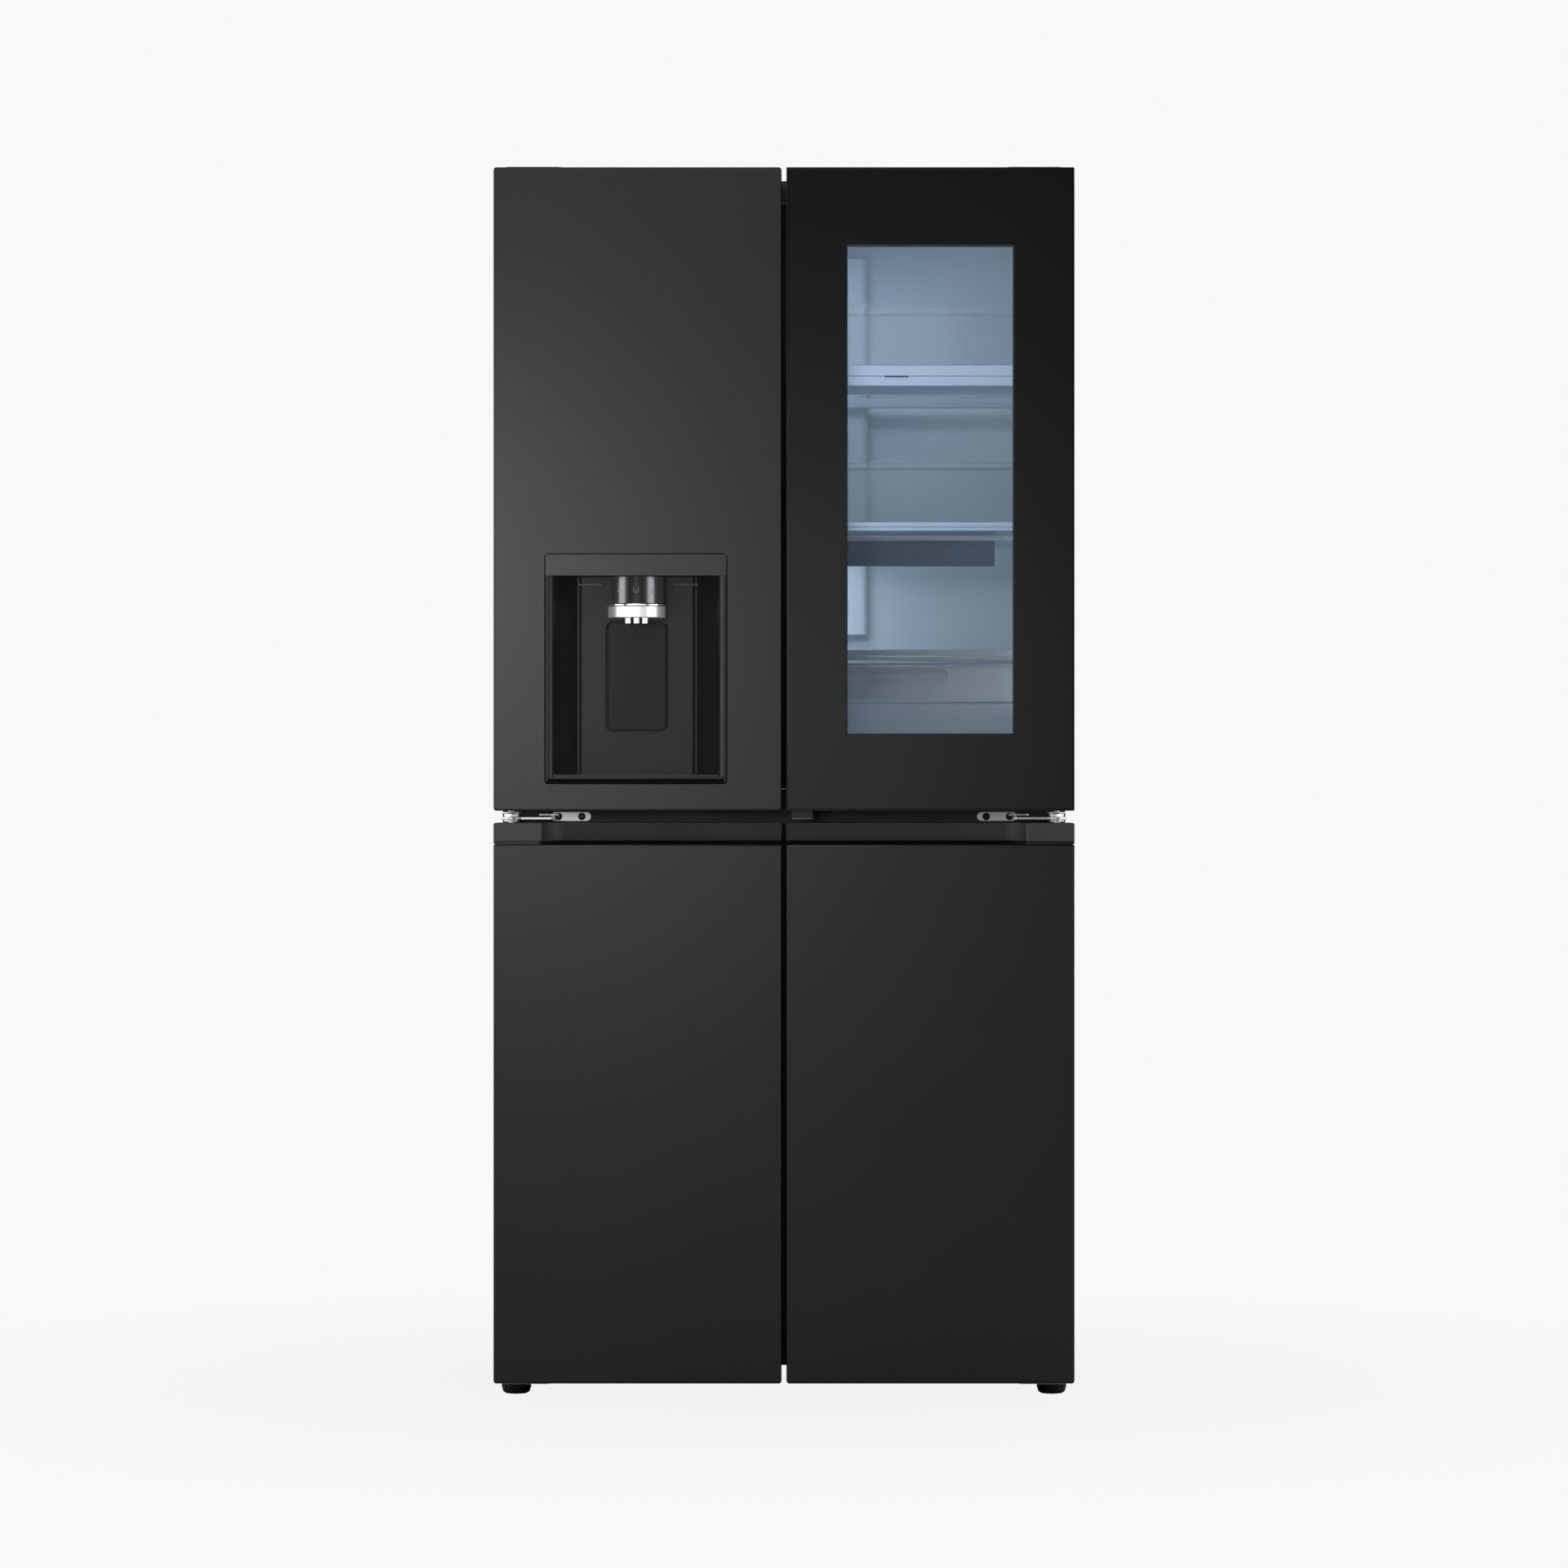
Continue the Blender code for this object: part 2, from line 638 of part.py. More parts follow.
def make_fan(floor):
    """An axial fan across the machine room, with its motor on a plate."""
    x, y, z = 0.020, BACK - 0.110, floor + FIT + 0.088
    half = FAN_RADIUS + 0.018
    plate = block(
        "fan_bracket",
        (x, y - half, floor + FIT),
        (x + 0.004, y + half, z + half),
        ZINC,
    )
    throat = rod("fan_throat", (x, y, z), FAN_RADIUS + 0.004, 0.05, "X")
    bar = block("fan_bar", (x, y - half + 0.002, z - 0.012), (x + 0.004, y + half - 0.002, z + 0.012))
    motor = rod("fan_motor", (x + 0.014, y, z), 0.022, 0.030, "X")
    cut(plate, throat)
    join(plate, bar, motor)
    cut(plate, rod("shaft_hole", (x, y, z), FAN_SHAFT + PIN_CLEARANCE, 0.030, "X"))
    axis = pivot("fan_axis", (x - 0.016, y, z))
    hub = rod("condenser_fan", (x - 0.016, y, z), 0.016, 0.022, "X", DARK_PLASTIC)
    join(hub, rod("fan_shaft", (x, y, z), FAN_SHAFT, 0.024, "X", sides=12))
    for i in range(FAN_BLADES):
        turn = Matrix.Rotation(i * 2 * math.pi / FAN_BLADES, 4, "X")
        shift = Matrix.Translation((0, 0.012 + (FAN_RADIUS - 0.012) / 2, 0))

        def blade(bm, turn=turn, shift=shift):
            size = Matrix.Diagonal((0.003, FAN_RADIUS - 0.012, 0.034, 1.0))
            tilt = Matrix.Rotation(math.radians(35), 4, "Y")
            bmesh.ops.create_cube(bm, size=1.0, matrix=turn @ shift @ tilt @ size)

        piece = object_from(f"fan_blade_{i}", blade, None, hub.location, cutter=True)
        join(hub, piece)
    hang(axis, hub)


# ---------------------------------------------------------------- inside the cabinet


def make_shelves():
    side, back = INNER_SIDE - SHELF_GAP, FRIDGE_BACK - 0.030
    for name in SHELF_SHARES:
        height = shelf_height(name)
        glass = block(
            name,
            (-side, SHELF_FRONT, height - SHELF_GLASS),
            (side, back, height),
            CLEAR_GLASS,
        )
        trim = block(
            f"{name}_trim",
            (-side + 0.0005, SHELF_FRONT - 0.010, height - SHELF_TRIM),
            (side - 0.0005, SHELF_FRONT + 0.012, height + 0.002),
            round_along="X",
            radius=0.003,
            segments=2,
        )
        join(glass, trim)
    duct_bottom = shelf_height("crisper_cover") + 0.035
    duct = block(
        "air_duct_panel",
        (-0.130, FRIDGE_BACK - 0.022, duct_bottom),
        (0.130, FRIDGE_BACK - FIT, FRIDGE_CEILING - 0.030),
        LINER_WHITE,
        round_along="Z",
        radius=0.010,
        segments=3,
    )
    for i in range(6):
        z = duct_bottom + 0.070 + i * 0.085
        for side in (-1, 1):
            vent = block(
                f"duct_vent_{i}_{side}",
                (side * 0.055, FRIDGE_BACK - 0.05, z),
                (side * 0.100, FRIDGE_BACK - 0.015, z + 0.012),
            )
            cut(duct, vent)


def tray(name, a, b, wall, base, finish):
    """An open-topped bin."""
    low, high = ordered(a, b)
    made = block(name, low, high, finish)
    inset = Vector((wall, wall, base))
    hollow = block(f"{name}_hollow", low + inset, high + Vector((-wall, -wall, 0.05)))
    return cut(made, hollow)


def drawer(name, a, b, finish):
    """A bin with a thick front and a finger notch in its top edge."""
    low, high = ordered(a, b)
    made = tray(name, low, high, DRAWER_WALL, DRAWER_WALL, finish)
    front = block(
        f"{name}_front",
        (low.x + 0.0005, low.y - DRAWER_FRONT, low.z + 0.0005),
        (high.x - 0.0005, low.y + DRAWER_WALL / 2, high.z - 0.0005),
    )
    middle = (low.x + high.x) / 2
    notch = block(
        f"{name}_notch",
        (middle - 0.055, low.y - DRAWER_FRONT - 0.01, high.z - 0.018),
        (middle + 0.055, low.y - DRAWER_FRONT + 0.009, high.z + 0.01),
    )
    join(made, front)
    return cut(made, notch)


def make_drawers():
    gap = DRAWER_GAP
    top = shelf_height("crisper_cover") - SHELF_TRIM - gap
    for side, name in ((-1, "left"), (1, "right")):
        drawer(
            f"crisper_{name}",
            (side * 0.003, SHELF_FRONT + DRAWER_FRONT, FRIDGE_FLOOR + FIT),
            (side * (INNER_SIDE - gap), FRIDGE_BACK - 0.030, top),
            CLEAR_PLASTIC,
        )
    middle = FREEZER_MIDDLE
    tiers = {
        "lower": (FREEZER_FLOOR + FIT, middle - gap, MACHINE_FRONT - MACHINE_WALL - 0.008),
        "upper": (middle + gap, FREEZER_CEILING - 0.010, FREEZER_BACK - 0.010),
    }
    for side, name in ((-1, "left"), (1, "right")):
        near, far = freezer_span(side)
        for tier, (bottom, top, back) in tiers.items():
            drawer(
                f"freezer_drawer_{name}_{tier}",
                (near + side * gap, CABINET_FRONT + DRAWER_SETBACK + DRAWER_FRONT, bottom),
                (far - side * gap, back, top),
                CLEAR_PLASTIC,
            )


# ---------------------------------------------------------------- hinges and feet


def make_top_hinge(side, name):
    """A plate on the cabinet top whose round nose carries the pin down into the door."""
    x = side * HINGE_X
    low, high = CABINET_TOP + FIT, CABINET_TOP + FIT + PLATE
    inner = x - side * (TOP_HINGE_WIDTH - ARM_RADIUS)
    foot = block(
        f"top_hinge_{name}",
        (x + side * TOP_PLATE_OUT, CABINET_FRONT + 0.010, low),
        (inner, CABINET_FRONT + 0.010 + TOP_HINGE_LENGTH, high),
        ZINC,
    )
    arm = block(
        f"top_arm_{name}",
        (x + side * TOP_ARM_OUT, HINGE_Y, low),
        (x - side * TOP_ARM_IN, CABINET_FRONT + 0.030, high),
    )
    nose = rod(f"top_nose_{name}", (x, HINGE_Y, (low + high) / 2), ARM_RADIUS, PLATE)
    pin_bottom = HINGE_POCKET_FLOOR - PIN_LENGTH
    pin = rod(f"top_pin_{name}", (x, HINGE_Y, (pin_bottom + high) / 2), PIN_RADIUS, high - pin_bottom)
    join(foot, arm, nose, pin)

    wall = COVER_WALL
    outer = side * (CABINET_SIDE - 0.003)
    back = CABINET_FRONT + 0.020 + TOP_HINGE_LENGTH
    cover_top = DOOR_TOP + COVER_RISE
    cover = block(
        f"top_hinge_cover_{name}",
        (outer, CABINET_FRONT + 0.004, CABINET_TOP + FIT),
        (inner - side * 0.012, back, cover_top),
        DARK_PLASTIC,
        round_along="Z",
        radius=0.008,
        segments=3,
    )
    hollow = block(
        f"cover_hollow_{name}",
        (outer - side * wall, CABINET_FRONT + 0.004 + wall, CABINET_TOP - 0.02),
        (inner - side * (0.012 - wall), back - wall, cover_top - wall),
    )
    slot = block(
        f"cover_slot_{name}",
        (x + side * (ARM_RADIUS + 0.001), CABINET_FRONT - 0.02, CABINET_TOP - 0.02),
        (x - side * (TOP_ARM_IN + 0.001), CABINET_FRONT + 0.020, high + 0.001),
    )
    cut(cover, hollow, slot)


def make_middle_hinge(side, name):
    """A bracket on the middle rail, with a pin up into the fridge door and down into the freezer door."""
    x = side * HINGE_X
    outer, inner = (side * (DOOR_SIDE - d) for d in MIDDLE_PLATE_FROM_SIDE)
    half = MIDDLE_PLATE_HALF_HEIGHT
    plate = block(
        f"middle_hinge_{name}",
        (outer, CABINET_FRONT - FIT - PLATE, MIDDLE_HEIGHT - half),
        (inner, CABINET_FRONT - FIT, MIDDLE_HEIGHT + half),
        ZINC,
    )
    root = outer - side * 0.030
    outline = [
        (root, CABINET_FRONT - FIT - PLATE / 2),
        (x + side * ARM_RADIUS * 0.9, CABINET_FRONT - FIT - PLATE / 2),
        (x + side * ARM_RADIUS * 0.9, HINGE_Y),
        (x - side * ARM_RADIUS * 0.9, HINGE_Y),
        (x - side * ARM_RADIUS * 0.9, HINGE_Y + 0.010),
        (root, HINGE_Y + 0.035),
    ]
    arm_low, arm_high = MIDDLE_HEIGHT - MIDDLE_ARM / 2, MIDDLE_HEIGHT + MIDDLE_ARM / 2
    arm = prism(f"middle_arm_{name}", outline, arm_low, arm_high)
    nose = rod(f"middle_nose_{name}", (x, HINGE_Y, MIDDLE_HEIGHT), ARM_RADIUS, MIDDLE_ARM)
    pin_length = LEVEL_GAP + 2 * PIN_LENGTH
    pin = rod(f"middle_pin_{name}", (x, HINGE_Y, MIDDLE_HEIGHT), PIN_RADIUS, pin_length)
    join(plate, arm, nose, pin)


def make_bottom_hinge(side, name):
    """A plate under the freezer door, turned up against the bottom rail, with the levelling foot."""
    x = side * HINGE_X
    high = LOWER_DOOR_BOTTOM - BOTTOM_PLATE_DROP
    low = high - BOTTOM_PLATE
    outer = side * (CABINET_SIDE - 0.002)
    inner = outer - side * BOTTOM_HINGE_WIDTH
    foot_y = CABINET_FRONT + FOOT_BACK
    plate = block(
        f"bottom_hinge_{name}",
        (outer, HINGE_Y - ARM_RADIUS, low),
        (inner, foot_y + 0.020, high),
        ZINC,
        round_along="Z",
        radius=0.008,
        segments=3,
    )
    flange = block(
        f"bottom_flange_{name}",
        (outer - side * 0.0005, CABINET_FRONT - FIT - PLATE, low + 0.0005),
        (inner + side * 0.0005, CABINET_FRONT - FIT, CABINET_BOTTOM + 0.014),
    )
    top = LOWER_DOOR_BOTTOM + PIN_LENGTH
    pin = rod(f"bottom_pin_{name}", (x, HINGE_Y, (low + 0.001 + top) / 2), PIN_RADIUS, top - low - 0.001)
    join(plate, flange, pin)
    foot_x = side * (DOOR_SIDE - FOOT_IN)
    hole = rod(f"foot_hole_{name}", (foot_x, foot_y, low), FOOT_STEM + PIN_CLEARANCE, 0.02)
    cut(plate, hole)
    profile = [
        (0.0, CABINET_BOTTOM - FIT),
        (FOOT_STEM, CABINET_BOTTOM - FIT),
        (FOOT_STEM, FOOT_HEIGHT),
        (FOOT_RADIUS, FOOT_HEIGHT),
        (FOOT_RADIUS, 0.007),
        (FOOT_RADIUS - 0.0015, 0.0055),
        (FOOT_RADIUS - 0.0015, 0.003),
        (FOOT_RADIUS - 0.0055, 0.0),
        (0.0, 0.0),
    ]
    foot = turned(f"front_foot_{name}", profile, (foot_x, foot_y, 0), FOOT_PLASTIC)
    hang(pivot(f"foot_axis_{name}", (foot_x, foot_y, 0)), foot)


# ---------------------------------------------------------------- pieces shared by the doors


def door_span(side):
    return side * DOOR_EDGE, side * DOOR_SIDE


def pin_socket(name, side, bottom, top):
    """A cutter for the hole that a hinge pin turns in."""
    place = (side * HINGE_X, HINGE_Y, (bottom + top) / 2)
    return rod(name, place, PIN_RADIUS + PIN_CLEARANCE, top - bottom)


def hinge_pocket(name, side):
    """A cutter for the door's top corner, where the top hinge's arm sweeps."""
    return block(
        name,
        (side * (HINGE_X - TOP_ARM_IN - 0.004), FRONT + 0.012, HINGE_POCKET_FLOOR),
        (side * (DOOR_SIDE + 0.02), DOOR_BACK + 0.05, DOOR_TOP + 0.02),
    )


def door_skin(name, side, bottom, top):
    """Painted sheet over the door's front and both sides."""
    near, far = door_span(side)
    made = block(
        name,
        (near, FRONT, bottom),
        (far, DOOR_BACK - SKIN_RETURN, top),
        GRAPHITE,
        edge=EDGE,
    )
    inside = block(
        f"{name}_inside",
        (near + side * SKIN, FRONT + SKIN, bottom - 0.05),
        (far - side * SKIN, DOOR_BACK + 0.05, top + 0.05),
    )
    return cut(made, inside)


def door_core(name, side, bottom, top, rib_bottom, rib_top, rib_centre):
    """The foamed door with its liner, whose raised rib goes into the compartment."""
    near, far = door_span(side)
    made = block(
        name,
        (near + side * (SKIN + FIT), FRONT + SKIN + FIT, bottom),
        (far - side * (SKIN + FIT), DOOR_BACK, top),
        LINER_WHITE,
    )
    rib_near, rib_far = side * rib_centre, side * (INNER_SIDE - RIB_CLEARANCE)
    rib = block(
        f"{name}_rib",
        (rib_near, DOOR_BACK - 0.006, rib_bottom),
        (rib_far, CABINET_FRONT + RIB_DEPTH, rib_top),
    )
    hollow = block(
        f"{name}_rib_hollow",
        (rib_near + side * RIB_WALL, DOOR_BACK, rib_bottom + RIB_WALL),
        (rib_far - side * RIB_WALL, CABINET_FRONT + RIB_DEPTH + 0.05, rib_top - RIB_WALL),
    )
    join(made, rib)
    return cut(made, hollow)


def frame_seal(name, x_span, z_span, y_span):
    """A rubber frame of one width."""
    (x0, x1), (z0, z1), (y0, y1) = map(sorted, (x_span, z_span, y_span))
    made = block(name, (x0, y0, z0), (x1, y1, z1), SEAL_RUBBER, round_along="Y", radius=0.004, segments=2)
    hollow = block(
        f"{name}_hollow",
        (x0 + SEAL_WIDTH, y0 - 0.05, z0 + SEAL_WIDTH),
        (x1 - SEAL_WIDTH, y1 + 0.05, z1 - SEAL_WIDTH),
    )
    return cut(made, hollow)


def door_seal(name, side, bottom, top):
    near, far = door_span(side)
    return frame_seal(
        name,
        (near + side * SEAL_FROM_FREE_SIDE, far - side * SEAL_FROM_HINGE_SIDE),
        (bottom, top),
        (DOOR_BACK + FIT, CABINET_FRONT - FIT),
    )


def finger_pocket(name, side, bottom, top, front, end=FINGER_END):
    """A cutter for the slot that fingers hook into, along the door's free part."""
    near, far = door_span(side)
    return block(
        name,
        (near + side * end, front, bottom),
        (far - side * (GRIP_START + GRIP_RUN), FRONT + GRIP_DEPTH, top),
    )


# ---------------------------------------------------------------- left fridge door


def recess_outline(inset):
    """The dispenser recess seen from above: rounded rims, straight slanting walls, a raised back panel."""
    half = DISPENSER_WIDTH / 2 - RECESS_RIM - inset
    lean = math.radians(62)
    r = RIM_RADIUS
    foot = PANEL_HALF + 0.003 - inset
    right = [(half, FRONT - 0.01)]
    for i in range(5):
        turn = i / 4 * lean
        right.append((half - r * (1 - math.cos(turn)), FRONT + r * math.sin(turn)))
    right += [
        (foot, FRONT + RECESS_DEPTH - inset),
        (PANEL_HALF - inset, FRONT + RECESS_DEPTH - inset),
        (PANEL_HALF - 0.001 - inset, PANEL_Y + 0.001 - inset),
        (PANEL_HALF - 0.0025 - inset, PANEL_Y - inset),
    ]
    left = [(-x, y) for x, y in reversed(right)]
    return [(DISPENSER_X + x, y) for x, y in right + left]


def dispenser_box(name, grow, finish=None, front=FRONT, back=HOUSING_BACK):
    """A box as wide and high as the dispenser's frame, with rounded corners."""
    half = DISPENSER_WIDTH / 2 + grow
    return block(
        name,
        (DISPENSER_X - half, front, DISPENSER_BOTTOM - grow),
        (DISPENSER_X + half, back + grow, DISPENSER_TOP + grow),
        finish,
        round_along="Y",
        radius=DISPENSER_CORNER,
        segments=4,
    )


def make_dispenser(door):
    housing = dispenser_box("dispenser_housing", 0.0, DARK_PLASTIC)
    recess = prism("recess", recess_outline(0.0), RECESS_FLOOR, RECESS_TOP)
    half, gap = PADDLE_WIDTH / 2, PADDLE_GAP
    pocket = block(
        "paddle_pocket",
        (DISPENSER_X - half - gap, PANEL_Y - 0.02, PADDLE_TOP - PADDLE_HEIGHT - gap),
        (DISPENSER_X + half + gap, POCKET_BACK, PADDLE_TOP + gap),
        round_along="Y",
        radius=PADDLE_CORNER + gap,
    )
    bar_seat = block(
        "bar_seat",
        (DISPENSER_X - DISPENSER_WIDTH, FRONT - 0.02, RECESS_TOP - FIT),
        (DISPENSER_X + DISPENSER_WIDTH, FRONT + BAR_THICKNESS + FIT, DISPENSER_TOP + 0.02),
    )
    pin_place = (DISPENSER_X, PANEL_Y + PADDLE_THICKNESS / 2, PADDLE_TOP - PADDLE_PIN_DROP)
    pin_length = PADDLE_WIDTH + 2 * gap + 0.008
    hole_radius, hole_length = PADDLE_PIN + PIN_CLEARANCE, pin_length + 0.001
    pin_hole = rod("paddle_pin_hole", pin_place, hole_radius, hole_length, "X", sides=12)
    cut(housing, recess, pocket, bar_seat, pin_hole)

    bar = dispenser_box("dispenser_bar", 0.0, DARK_PLASTIC, back=FRONT + BAR_THICKNESS)
    below = block(
        "below_bar",
        (DISPENSER_X - DISPENSER_WIDTH, FRONT - 0.02, DISPENSER_BOTTOM - 0.02),
        (DISPENSER_X + DISPENSER_WIDTH, FRONT + 0.05, RECESS_TOP),
    )
    cut(bar, below)

    centre_y = FRONT + NOZZLE_FROM_FRONT
    flat_back = block(
        "nozzle_flat",
        (DISPENSER_X - 0.1, PANEL_Y - FIT, NOZZLE_BOTTOM - 0.05),
        (DISPENSER_X + 0.1, PANEL_Y + 0.1, RECESS_TOP + 0.05),
    )
    body = rod(
        "nozzle_body",
        (DISPENSER_X, centre_y, (NOZZLE_BOTTOM + RECESS_TOP - FIT) / 2),
        NOZZLE_RADIUS,
        RECESS_TOP - FIT - NOZZLE_BOTTOM,
        finish=GLOSS_GREY,
        sides=48,
    )
    cut(body, flat_back)
    ring_top = NOZZLE_BOTTOM - FIT
    ring_z = ring_top - RING_HEIGHT / 2
    ring_place = (DISPENSER_X, centre_y, ring_z)
    ring = rod("nozzle_ring", ring_place, RING_RADIUS, RING_HEIGHT, finish=CHROME, sides=48)
    collar_bottom = ring_top - RING_HEIGHT - COLLAR_HEIGHT
    collar_top = ring_z
    collar = rod(
        "nozzle_collar",
        (DISPENSER_X, centre_y, (collar_bottom + collar_top) / 2),
        COLLAR_RADIUS,
        collar_top - collar_bottom,
        sides=48,
    )
    spouts = [
        rod(
            f"spout_{i}",
            (DISPENSER_X + i * SPOUT_SPACING, centre_y - 0.004, collar_bottom - SPOUT_LENGTH / 2 + 0.001),
            SPOUT_RADIUS,
            SPOUT_LENGTH + 0.002,
            sides=12,
        )
        for i in (-1, 0, 1)
    ]
    join(ring, collar, *spouts)
    cut(ring, flat_back)

    tray_top = RECESS_FLOOR + TRAY_HEIGHT
    pan = prism("drip_tray", recess_outline(0.0015), RECESS_FLOOR + FIT, tray_top, DARK_PLASTIC)
    for name, start, end in (("front", FRONT - 0.05, FRONT + 0.004), ("back", PANEL_Y - 0.001, BACK)):
        beyond = block(
            f"beyond_tray_{name}",
            (DISPENSER_X - DISPENSER_WIDTH, start, RECESS_FLOOR - 0.02),
            (DISPENSER_X + DISPENSER_WIDTH, end, RECESS_FLOOR + 0.05),
        )
        cut(pan, beyond)
    for i in range(-4, 5):
        slot = block(
            f"tray_slot_{i}",
            (DISPENSER_X + i * 0.016 - 0.003, FRONT + 0.014, tray_top - 0.005),
            (DISPENSER_X + i * 0.016 + 0.003, PANEL_Y - 0.010, tray_top + 0.02),
        )
        cut(pan, slot)

    paddle_axis = pivot("paddle_axis", pin_place, door)
    paddle = block(
        "dispenser_paddle",
        (DISPENSER_X - half, PANEL_Y, PADDLE_TOP - PADDLE_HEIGHT),
        (DISPENSER_X + half, PANEL_Y + PADDLE_THICKNESS, PADDLE_TOP),
        DARK_PLASTIC,
        round_along="Y",
        radius=PADDLE_CORNER,
    )
    join(paddle, rod("paddle_pin", pin_place, PADDLE_PIN, pin_length, "X", sides=12))
    hang(paddle_axis, paddle)
    hang(door, housing, bar, body, ring, pan)


def make_left_door():
    side = -1
    bottom, top = UPPER_DOOR_BOTTOM, DOOR_TOP
    door = pivot("left_door_axis", (side * HINGE_X, HINGE_Y, bottom))
    opening = dispenser_box("dispenser_opening", FIT, front=FRONT - 0.02)
    skin = door_skin("left_door_skin", side, bottom, top)
    cut(skin, opening, hinge_pocket("left_skin_pocket", side))
    rib_centre = 0.058
    rib_bottom, rib_top = FRIDGE_FLOOR + 0.014, FRIDGE_CEILING - 0.014
    core = door_core("left_door_core", side, bottom, top, rib_bottom, rib_top, rib_centre)
    cut(
        core,
        opening,
        hinge_pocket("left_core_pocket", side),
        pin_socket("left_top_socket", side, HINGE_POCKET_FLOOR - PIN_LENGTH - 0.002, DOOR_TOP),
        pin_socket("left_bottom_socket", side, bottom - 0.01, bottom + PIN_LENGTH + 0.002),
        finger_pocket("left_finger_pocket", side, bottom - 0.01, bottom + FINGER_DEPTH, FRONT + FINGER_LIP),
    )
    seal = door_seal("left_door_gasket", side, bottom + SEAL_FROM_MIDDLE, top - SEAL_FROM_TOP)

    near = side * (rib_centre + RIB_WALL + FIT)
    far = side * (INNER_SIDE - RIB_CLEARANCE - RIB_WALL - FIT)
    ice_top = FRIDGE_CEILING - ICE_BOX_DROP
    ice_bottom = ice_top - ICE_BOX_HEIGHT
    ice_box = block(
        "ice_box",
        (near, DOOR_BACK + FIT, ice_bottom),
        (far, DOOR_BACK + ICE_BOX_DEPTH, ice_top),
        LINER_WHITE,
        round_along="Z",
        radius=0.012,
        segments=3,
    )
    ice_room = block(
        "ice_room",
        (near + side * 0.006, DOOR_BACK - 0.05, ice_bottom + 0.006),
        (far - side * 0.006, DOOR_BACK + ICE_BOX_DEPTH - 0.006, ice_top - 0.006),
    )
    cut(ice_box, ice_room)
    basket_bottom = FRIDGE_FLOOR + DOOR_BASKET_RISE
    basket = tray(
        "left_door_basket",
        (near, DOOR_BACK + FIT, basket_bottom),
        (far, DOOR_BACK + DOOR_BASKET_DEPTH, basket_bottom + BASKET_HEIGHT),
        BASKET_WALL,
        BASKET_WALL,
        CLEAR_PLASTIC,
    )
    hang(door, skin, core, seal, ice_box, basket)
    make_flap(door, core)
    make_dispenser(door)


def make_flap(door, core):
    """The strip behind the gap between the fridge doors. It turns on two lugs of the left door's liner."""
    flap_right = -FLAP_FROM_CENTRE
    flap_left = flap_right - FLAP_WIDTH
    x, y = flap_left + FLAP_PIVOT_IN, CABINET_FRONT + FLAP_PIVOT_BACK
    low, high = FRIDGE_FLOOR + FLAP_END_GAP, FRIDGE_CEILING - FLAP_END_GAP
    flap_axis = pivot("flap_axis", (x, y, FRIDGE_FLOOR), door)
    flap = block(
        "centre_flap",
        (flap_left, CABINET_FRONT, low),
        (flap_right, CABINET_FRONT + FLAP_THICKNESS, high),
        DARK_PLASTIC,
        round_along="Z",
        radius=0.003,
        segments=2,
    )
    for name, end, outward in (("lower", low, -1), ("upper", high, 1)):
        lug = block(
            f"flap_lug_{name}",
            (x - 0.006, DOOR_BACK - 0.004, end + outward * FIT),
            (x + 0.006, y + 0.006, end + outward * (FIT + FLAP_LUG)),
        )
        length = FLAP_PIN_LENGTH
        middle = (x, y, end - outward * (length / 2 - 0.002))
        pin = rod(f"flap_pin_{name}", middle, FLAP_PIN, length, sides=12)
        join(core, lug, pin)
        cut(flap, rod(f"flap_socket_{name}", (x, y, end), FLAP_PIN + PIN_CLEARANCE, 2 * length, sides=12))
    hang(flap_axis, flap)


# ---------------------------------------------------------------- right fridge door, a door in a door


def window_corners(grow):
    middle = (DOOR_EDGE + DOOR_SIDE) / 2
    x0, x1 = middle - WINDOW_WIDTH / 2 - grow, middle + WINDOW_WIDTH / 2 + grow
    return (x0, UPPER_DOOR_BOTTOM + WINDOW_FROM_BOTTOM - grow), (x1, DOOR_TOP - WINDOW_FROM_TOP + grow)


def window_block(name, grow, front, back, finish=None):
    (x0, z0), (x1, z1) = window_corners(grow)
    return block(name, (x0, front, z0), (x1, back, z1), finish)


